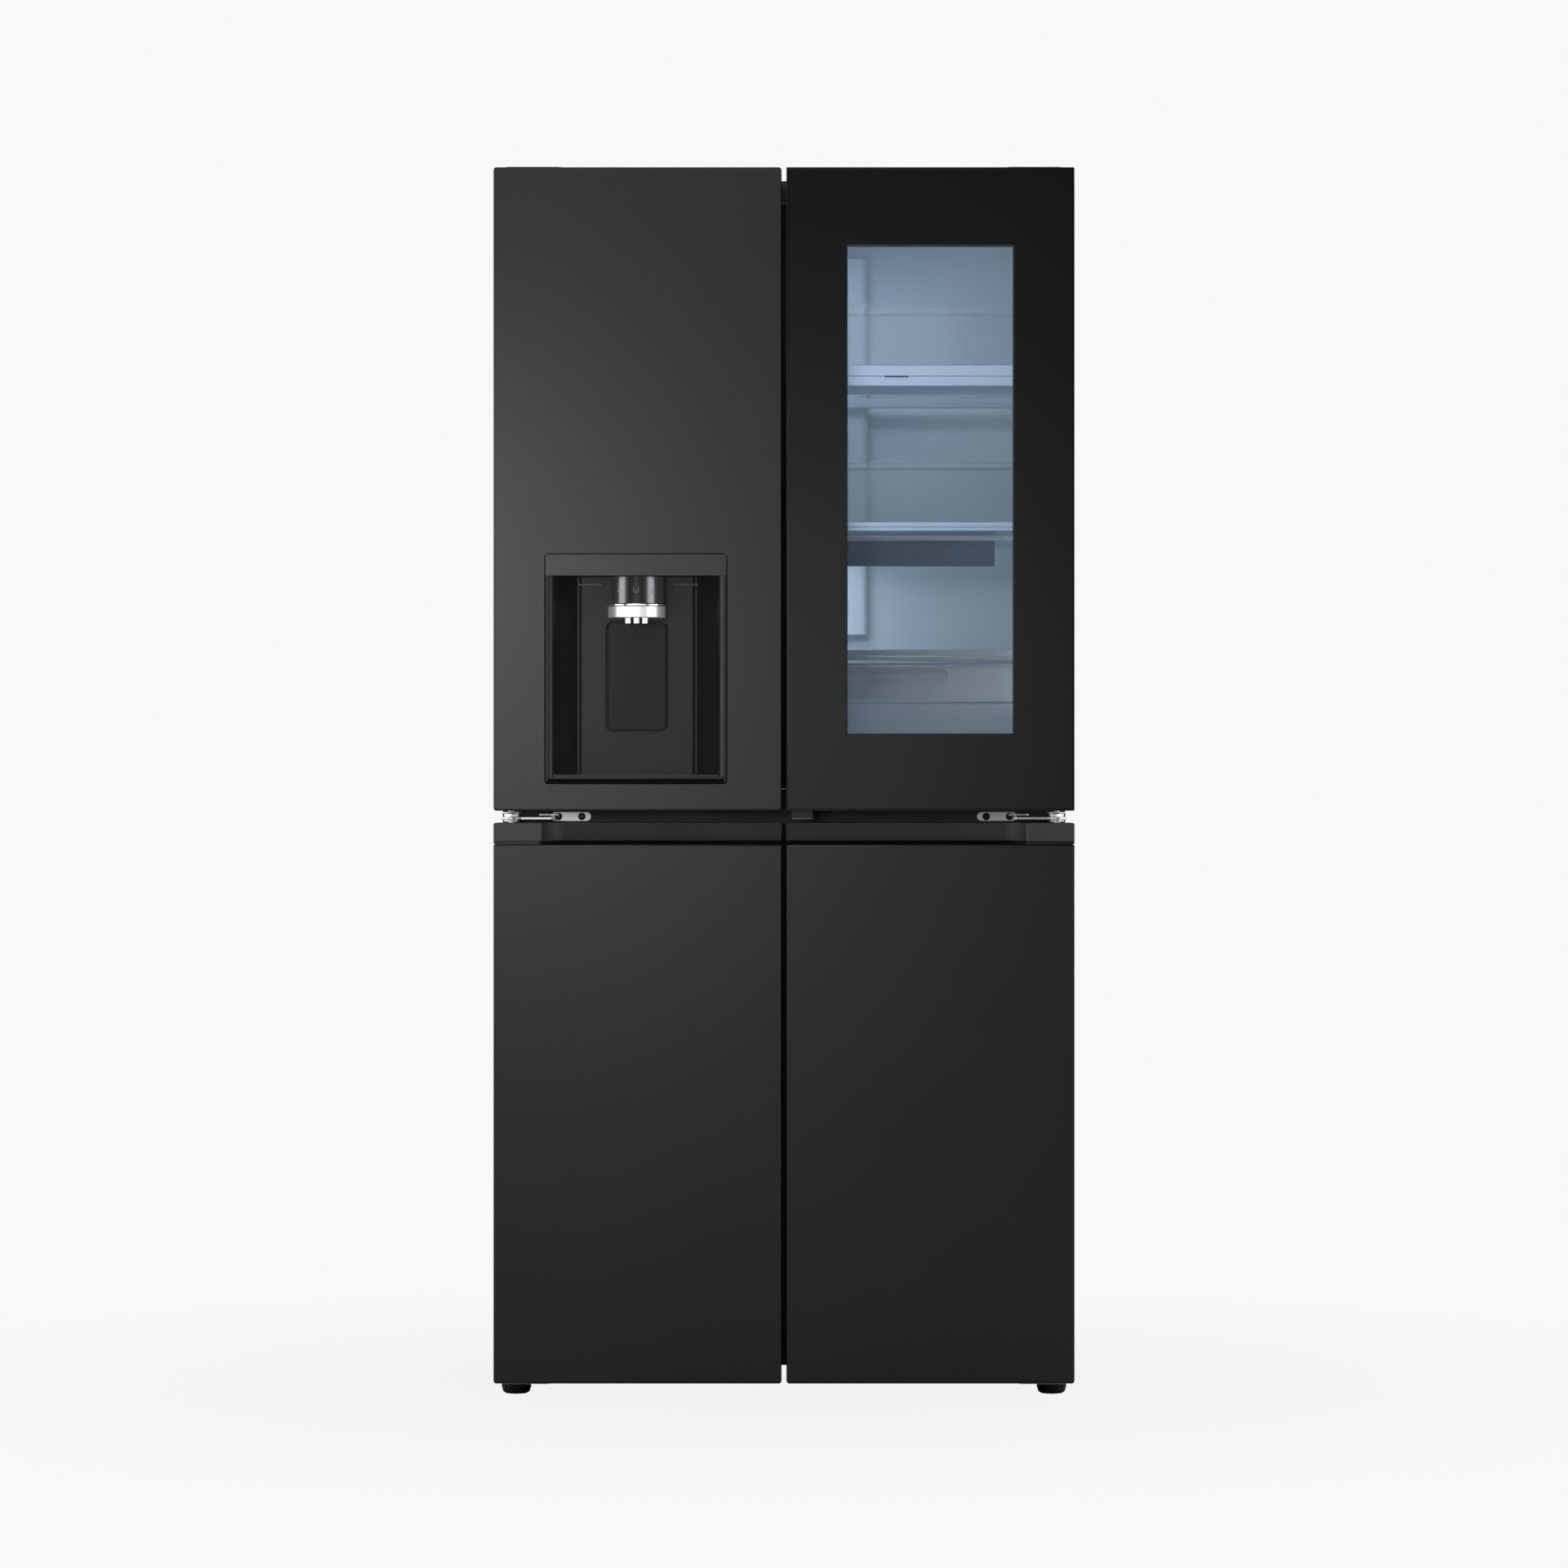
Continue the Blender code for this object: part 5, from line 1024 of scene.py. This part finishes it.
def shelves():
    for node in ("upper_shelf", "middle_shelf", "crisper_cover"):
        low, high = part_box(node)
        top = high.z - 0.002
        glass = slab(
            (low.x + 0.004, low.y + 0.010, top - 0.005), (high.x - 0.004, high.y, top), 0, "Z", 0.0008
        )
        piece(f"{node}_glass", glass, SHELF_GLASS, "cabinet", [node])
        front = slab((low.x, low.y, low.z), (high.x, low.y + 0.022, high.z), 0.003, "X", 0.001)
        piece(f"{node}_trim", front, FROST, "cabinet")
        line = slab(
            (low.x + 0.001, low.y - 0.0006, low.z + 0.004), (high.x - 0.001, low.y + 0.002, low.z + 0.0075),
            0.001, "X",
        )
        piece(f"{node}_bright_line", line, TRIM, "cabinet")
        rails = [
            slab(
                (side * abs(low.x), low.y + 0.020, top - 0.011),
                (side * (abs(low.x) - 0.012), high.y, top + 0.0015), 0.002, "Y",
            )
            for side in (-1, 1)
        ]
        rails.append(
            slab((low.x, high.y - 0.010, top - 0.009), (high.x, high.y + 0.002, top + 0.006), 0.002, "X")
        )
        piece(f"{node}_rails", together(*rails), FROST, "cabinet")


def drawers():
    for name in ("crisper_left", "crisper_right"):
        pull_out(name, "cabinet", CLEAR_PLASTIC)
    for side in ("left", "right"):
        for tier in ("lower", "upper"):
            pull_out(f"freezer_drawer_{side}_{tier}", "cabinet", CLEAR_PLASTIC)


def pull_out(node, body, finish):
    """A drawer: clear bin, thick frosted front with a finger recess and a bright top line."""
    low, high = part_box(node)
    front = low.y + 0.014
    shell = bin_shape((low.x, front, low.z), (high.x, high.y, high.z - 0.002), 0.010, 0.012, 0.003)
    piece(f"{node}_bin", shell, finish, body, [node], wall=0.003)
    middle = (low.x + high.x) / 2
    panel = slab((low.x, low.y, low.z + 0.001), (high.x, front + 0.002, high.z), 0.008, "Y", 0.0025)
    scoop = slab(
        (middle - 0.060, low.y - 0.01, high.z - 0.034), (middle + 0.060, low.y + 0.010, high.z - 0.008),
        0.010, "Y",
    )
    piece(f"{node}_front", carved(panel, scoop), FROST, body)
    line = slab(
        (low.x + 0.006, low.y - 0.0008, high.z - 0.0062), (high.x - 0.006, low.y + 0.002, high.z - 0.0030),
        0.0012, "X",
    )
    piece(f"{node}_line", line, TRIM, body)


def cabinet_fittings():
    """Lamps, wall ribs, duct trim and the grey front strip of the compartments, whose dark blue-grey is
    painted shade.
    """
    back = FRIDGE_BACK
    for name, side in SIDES:
        x = side * INNER_SIDE
        strip = slab((x, -0.205, 1.00), (x - side * 0.004, -0.185, FRIDGE_CEILING - 0.03), 0.002, "Z", 0.001)
        piece(f"side_lamp_{name}", strip, LAMP, "cabinet")
        ribs = [
            slab((x, -0.09, z), (x - side * 0.002, back - 0.04, z + 0.012), 0.0018, "Y")
            for z in (1.14, 1.19, 1.33, 1.39, 1.54, 1.60)
        ]
        piece(f"wall_ribs_{name}", together(*ribs), LINER, "cabinet")
    ceiling = slab((-0.17, -0.12, FRIDGE_CEILING - 0.006), (0.17, 0.02, FRIDGE_CEILING), 0.012, "Z", 0.003)
    piece("ceiling_lamp_cover", ceiling, LAMP, "cabinet")
    slats = [
        slab((-0.10, back - 0.0245, z), (0.10, back - 0.0215, z + 0.004), 0.001, "X")
        for z in (1.155, 1.170, 1.400, 1.415, 1.655, 1.670)
    ]
    piece("duct_slats", together(*slats), TRIM, "cabinet")
    NODES["air_duct_panel"].data.materials[0] = LINER.material
    # This plate's dark colour is painted shade for the darker band at the shelf front.
    valance = slab((-0.3125, -0.1065, 1.2105), (0.3125, -0.1025, 1.249), 0.002, "Y")
    piece("shelf_valance", valance, SHADE_VALANCE, "cabinet")


# ---------------------------------------------------------------- hinges, feet, back


def middle_hinges():
    for name, side in SIDES:
        node = f"middle_hinge_{name}"
        low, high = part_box(node)
        z, back = (low.z + high.z) / 2, high.y
        inner = low.x if side > 0 else high.x
        x = side * PIN_X
        plate = slab(
            (inner, back - 0.003, z - 0.0067), (inner + side * 0.058, back, z + 0.0067), 0.0066, "Y", 0.0004
        )
        rim = slab(
            (inner, back - 0.0042, z - 0.0067), (inner + side * 0.016, back - 0.001, z + 0.0067), 0.0066, "Y",
            0.0004,
        )
        hollow = slab(
            (inner + side * 0.0016, back - 0.01, z - 0.0054), (inner + side * 0.03, back - 0.003, z + 0.0054),
            0.005, "Y",
        )
        rim = carved(rim, hollow)
        arm = slab(
            (inner + side * 0.050, PIN_Y - 0.004, z - 0.0042), (x + side * 0.008, back - 0.001, z - 0.0006),
            0.006, "Z", 0.0005,
        )
        ledge = slab(
            (inner + side * 0.046, back - 0.016, z + 0.0012),
            (inner + side * 0.075, back - 0.001, z + 0.0040), 0.003, "Z", 0.0005,
        )
        nose = rod((x, PIN_Y, z - 0.0024), 0.0143, 0.0036, sides=32, edge=0.0005)
        pin = rod((x, PIN_Y, z), 0.0046, high.z - low.z, sides=32, edge=0.0008)
        nut = rod((x, PIN_Y, z + 0.0018), 0.0118, 0.0048, sides=6, edge=0.0005)
        washers = [
            rod((x, PIN_Y, z + 0.0056), 0.0138, 0.0024, sides=32, edge=0.0005),
            rod((x, PIN_Y, z - 0.0060), 0.0112, 0.0026, sides=24, edge=0.0005),
        ]
        bracket = joined(plate, rim, arm, ledge, nose, pin, nut, *washers)
        piece(f"middle_bracket_{name}", bracket, BRIGHT_ZINC, "cabinet", [node])
        heads = [
            screw_head((side * 0.3283, back - 0.0032, z), 0.0054),
            screw_head((side * 0.2945, back - 0.0032, z), 0.0054),
        ]
        piece(f"middle_bracket_screws_{name}", together(*heads), SCREW, "cabinet")


def feet():
    for name, _ in SIDES:
        node = f"front_foot_{name}"
        low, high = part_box(node)
        centre = ((low.x + high.x) / 2, (low.y + high.y) / 2, 0)
        profile = [
            (0.0, high.z), (0.0058, high.z), (0.0058, 0.020), (0.0080, 0.0195), (0.0185, 0.0188),
            (0.0205, 0.0180),
        ]
        profile += [
            (0.0215, 0.0165), (0.0215, 0.0085), (0.0208, 0.0078), (0.0205, 0.0072), (0.0202, 0.0045),
            (0.0190, 0.0022),
        ]
        profile += [(0.0165, 0.0006), (0.0150, 0.0), (0.0, 0.0)]
        foot = turned(profile, centre, steps=64)
        grips = [cube((-0.0011, -0.0222, 0.0090), (0.0011, -0.0205, 0.0160)) for _ in range(12)]
        for i, grip in enumerate(grips):
            turn = Matrix.Translation(centre) @ Matrix.Rotation(i * math.pi / 6 + math.pi / 12, 4, "Z")
            bmesh.ops.transform(grip, matrix=turn, verts=grip.verts)
        piece(f"levelling_foot_{name}", carved(foot, together(*grips)), FOOT, f"front_foot_{name}", [node])


def cabinet_back():
    low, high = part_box("rear_panel")
    base = cube((low.x, high.y - 0.0013, low.z), (high.x, high.y - 0.0010, high.z))
    ribs = []
    for i in range(9):
        z = low.z + 0.10 + i * (high.z - low.z - 0.20) / 8
        ribs.append(
            slab(
                (low.x + 0.06, high.y - 0.0012, z - 0.012), (high.x - 0.06, high.y, z + 0.012), 0.011, "Y",
                0.0009,
            ),
        )
    for x in (-0.375, 0.375):
        ribs.append(
            slab(
                (x - 0.010, high.y - 0.0012, low.z + 0.04), (x + 0.010, high.y, high.z - 0.04), 0.009, "Y",
                0.0009,
            ),
        )
    piece("rear_sheet", together(base, *ribs), BACK_SHEET, "cabinet", ["rear_panel"])
    cover_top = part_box("machine_cover")[1]
    cheeks = [
        slab(
            (s * (cover_top.x + 0.0004), high.y - 0.0011, 0.0425),
            (s * (CABINET_SIDE - 0.0014), high.y - 0.0003, low.z - 0.0004), 0, "Z", 0.0003,
        )
        for s in (-1, 1)
    ]
    piece("back_cheek_strips", together(*cheeks), CABINET, "cabinet")
    heads = []
    for x in (-0.402, -0.2, 0.0, 0.2, 0.402):
        for z in (low.z + 0.012, high.z - 0.012):
            heads.append(screw_head((x, high.y - 0.0030, z), 0.0042, "-Y"))
    cover_low, cover_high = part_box("machine_cover")
    for x in (cover_low.x + 0.012, 0.0, cover_high.x - 0.012):
        heads.append(screw_head((x, high.y - 0.0030, cover_low.z + 0.014), 0.0042, "-Y"))
    piece("back_screws", together(*heads), SCREW, "cabinet")


def plain_finishes():
    """Better finishes for the CAD nodes whose own shape stays."""
    kept = {
        "cabinet_shell": CABINET,
        "insulated_liner": LINER,
        "machine_cover": DARK,
        "base_pan": ZINC,
        "compressor": ENAMEL,
        "fan_bracket": ZINC,
        "top_hinge_left": ZINC,
        "top_hinge_right": ZINC,
        "top_hinge_cover_left": DARK,
        "top_hinge_cover_right": DARK,
        "bottom_hinge_left": BRIGHT_ZINC,
        "bottom_hinge_right": BRIGHT_ZINC,
        "condenser_fan": DARK,
        "rear_roller_left": FOOT,
        "rear_roller_right": FOOT,
        "right_door_inner_frame": WRAPPED,
    }
    for node, finish in kept.items():
        NODES[node].data.materials[0] = finish.material
    gasket("right_door_seal", "right_door_gasket", "right_door")


# ---------------------------------------------------------------- studio


CAMERA_AWAY = 8.0
CAMERA_HEIGHT = 0.8875
VIEW_WIDTH = 2.2531
WORLD_POWER = 0.06
LIGHTS = {
    "near_left": ((-0.65, -1.5, 1.25), (-0.15, FRONT, 1.2), (0.5, 0.6), 2.44),
    "front_top": ((-0.3, -2.2, 3.0), (0.0, FRONT, 1.2), (1.4, 0.8), 11.4),
    "middle_front": ((-0.52, -3.2, 1.05), (-0.1, FRONT, 0.95), (0.7, 0.7), 5.9),
    "side_left": ((-2.8, 0.4, 1.3), (-CABINET_SIDE, 0.1, 0.9), (1.2, 1.6), 22.0),
    "side_right": ((2.8, 0.4, 1.3), (CABINET_SIDE, 0.1, 0.9), (1.2, 1.6), 18.0),
    "back": ((1.6, 2.2, 2.6), (0.0, CABINET_BACK, 0.9), (1.0, 1.0), 34.0),
    "top": ((0.0, 0.7, 3.4), (0.0, 0.2, 1.7), (1.6, 1.6), 14.0),
}
WHITE, COLD = (1.0, 1.0, 1.0), (0.66, 0.82, 1.0)
SPOUT = ["nozzle_disc", "nozzle_satin_ring", "nozzle_spouts"]
RIMS = ["dispenser_frame", "freezer_grip_left", "freezer_grip_right"]
BRACKETS = ["middle_bracket_left", "middle_bracket_right", "bottom_hinge_left", "bottom_hinge_right"]
TRAYS = [f"door_bin_{part}_{level}" for part in ("tray", "wall") for level in ("upper", "middle", "lower")]
DETAIL_LIGHTS = {
    "nozzle_left": (
        (-1.2125, -0.6, 1.16), (-0.2125, -0.33, 1.16), (1.0, 0.5), 6.0, WHITE, ["nozzle_housing", *SPOUT]
    ),
    "nozzle_right": (
        (0.7875, -0.6, 1.16), (-0.2125, -0.33, 1.16), (1.0, 0.5), 6.0, WHITE, ["nozzle_housing", *SPOUT]
    ),
    "spout_front": ((-0.2125, -1.9, 1.25), (-0.2125, FRONT, 1.13), (2.2, 0.4), 4.5, WHITE, SPOUT),
    "rim_left": ((-1.7, -1.9, 1.0), (-0.2, FRONT, 1.0), (0.4, 1.0), 14.0, WHITE, RIMS),
    "rim_right": ((1.3, -1.9, 1.0), (-0.2, FRONT, 1.0), (0.4, 1.0), 14.0, WHITE, RIMS),
    "bracket_left": ((-1.45, -1.05, 1.0), (-0.3, FRONT, 0.84), (0.22, 1.0), 5.0, WHITE, BRACKETS),
    "bracket_right": ((1.45, -1.05, 1.0), (0.3, FRONT, 0.84), (0.22, 1.0), 5.0, WHITE, BRACKETS),
    "tray_front": ((0.0, -1.6, 1.7), (0.2, FRONT, 1.3), (0.6, 0.6), 6.5, COLD, TRAYS),
}
COLD_LIGHTS = {
    "inside_top": ((0.0, -0.02, 1.724), (0.0, -0.02, 1.0), (0.34, 0.14), 0.7),
    "inside_middle": ((-0.05, 0.05, 1.24), (-0.1, 0.12, 0.9), (0.4, 0.2), 0.8),
    "inside_low": ((0.0, 0.05, 1.06), (0.0, 0.05, 0.5), (0.5, 0.2), 0.2),
}
CARD_PLACE = FRONT - CAMERA_AWAY - 1.2
BACKDROP = (0.935, 0.937, 0.937)
CARD_GLOWS = [((-0.2, 1.1), 1.1, 0.51), ((0.0, 1.4), 3.5, 0.14)]


def area_light(name, place, aim, size, power, colour=(1.0, 1.0, 1.0)):
    data = bpy.data.lights.new(name, "AREA")
    data.shape = "RECTANGLE"
    data.size, data.size_y = size
    data.energy = power
    data.color = colour
    light = bpy.data.objects.new(name, data)
    light.location = place
    light.rotation_euler = (Vector(aim) - Vector(place)).to_track_quat("-Z", "Y").to_euler()
    bpy.context.scene.collection.objects.link(light)
    light.visible_camera = False
    return light


def group(name, pieces):
    """A collection of finished pieces for a light to pick."""
    made = bpy.data.collections.new(name)
    for piece_name in pieces:
        made.objects.link(NODES.get(piece_name) or bpy.data.objects[piece_name])
    return made


def studio():
    scene = bpy.context.scene
    scene.view_settings.view_transform = "Standard"
    world = bpy.data.worlds.new("studio")
    scene.world = world
    sky = Shading(world)
    sky.tree.nodes.clear()
    seen = sky.node("ShaderNodeBackground", values={"Color": BACKDROP})
    lighting = sky.node("ShaderNodeBackground", values={"Color": WHITE, "Strength": WORLD_POWER})
    by_camera = sky.node("ShaderNodeLightPath", output="Is Camera Ray")
    both = sky.node("ShaderNodeMixShader", values={"Fac": by_camera, 1: lighting, 2: seen})
    sky.node("ShaderNodeOutputWorld", values={"Surface": both}, output=None)

    for name, (place, aim, size, power) in LIGHTS.items():
        area_light(name, place, aim, size, power)
    for name, (place, aim, size, power, colour, pieces) in DETAIL_LIGHTS.items():
        light = area_light(name, place, aim, size, power, colour)
        light.light_linking.receiver_collection = group(f"{name}_pieces", pieces)
        light.light_linking.blocker_collection = group(f"{name}_shades", ["nozzle_housing"])
    for name in ("near_left", "middle_front"):
        others = group(f"{name}_pieces", ["nozzle_housing"])
        others.collection_objects[0].light_linking.link_state = "EXCLUDE"
        bpy.data.objects[name].light_linking.receiver_collection = others
    for name, (place, aim, size, power) in COLD_LIGHTS.items():
        area_light(name, place, aim, size, power, (0.72, 0.86, 1.0))
    front_card()
    floor()

    camera = bpy.data.objects.new("camera", bpy.data.cameras.new("camera"))
    scene.collection.objects.link(camera)
    scene.camera = camera
    camera.location = (0.0, FRONT - CAMERA_AWAY, CAMERA_HEIGHT)
    camera.rotation_euler = (math.pi / 2, 0.0, 0.0)
    camera.data.sensor_width = 36.0
    camera.data.lens = 36.0 * CAMERA_AWAY / VIEW_WIDTH
    camera.data.clip_end = 60.0


def front_card():
    """A glowing card behind the camera for the glass and the metal to reflect."""
    bm = bmesh.new()
    bmesh.ops.create_grid(bm, x_segments=1, y_segments=1, size=5.0)
    bmesh.ops.rotate(bm, cent=(0, 0, 0), matrix=Matrix.Rotation(math.pi / 2, 3, "X"), verts=bm.verts)
    bmesh.ops.translate(bm, vec=(0, CARD_PLACE, 2.0), verts=bm.verts)
    card = placed("front_card", bm)
    card.visible_camera = False
    card.visible_shadow = False
    glow = Finish("card_glow", "liner_white", Base_Color=(0, 0, 0), Roughness=1.0)
    total = 0.0
    for (x, z), reach, power in CARD_GLOWS:
        away = glow.node(
            "ShaderNodeVectorMath", {"operation": "SUBTRACT"}, {0: glow.place, 1: (x, CARD_PLACE, z)}
        )
        distance = glow.node("ShaderNodeVectorMath", {"operation": "LENGTH"}, {0: away}, output="Value")
        share = glow.node("ShaderNodeMath", {"operation": "DIVIDE"}, {0: distance, 1: reach})
        squared = share * share
        falloff = glow.node("ShaderNodeMath", {"operation": "EXPONENT"}, {0: squared * -1.0})
        total = falloff * power + total
    glow.set(Emission_Color=glow.mix(total, (0.0, 0.0, 0.0), (1.0, 1.0, 1.0)), Emission_Strength=1.0)
    card.data.materials.append(glow.material)


def floor():
    """A plain pale floor: mostly its own even tone, with a trace of soft shadow."""
    bm = bmesh.new()
    bmesh.ops.create_grid(bm, x_segments=1, y_segments=1, size=40.0)
    made = placed("floor", bm)
    finish = bpy.data.materials.new("floor")
    ground = Shading(finish)
    ground.tree.nodes.clear()
    even = ground.node("ShaderNodeEmission", values={"Color": BACKDROP})
    matt = ground.node("ShaderNodeBsdfDiffuse", values={"Color": (0.5, 0.5, 0.5)})
    place = ground.node("ShaderNodeTexCoord", output="Object")
    away = ground.node("ShaderNodeVectorMath", {"operation": "LENGTH"}, {0: place}, output="Value")
    fade = ground.node(
        "ShaderNodeMapRange",
        {"interpolation_type": "SMOOTHSTEP"},
        {"Value": away, "From Min": 0.3, "From Max": 1.6, "To Min": 0.94, "To Max": 1.0},
        output="Result",
    )
    by_camera = ground.node("ShaderNodeLightPath", output="Is Camera Ray")
    both = ground.node("ShaderNodeMixShader", values={"Fac": by_camera * fade, 1: matt, 2: even})
    ground.node("ShaderNodeOutputMaterial", values={"Surface": both}, output=None)
    made.data.materials.append(finish)


left_door_shell()
freezer_doors()
dispenser()
right_door_front()
door_baskets()
ice_maker()
left_bin()
flap()
shelves()
drawers()
cabinet_fittings()
middle_hinges()
feet()
cabinet_back()
plain_finishes()
studio()
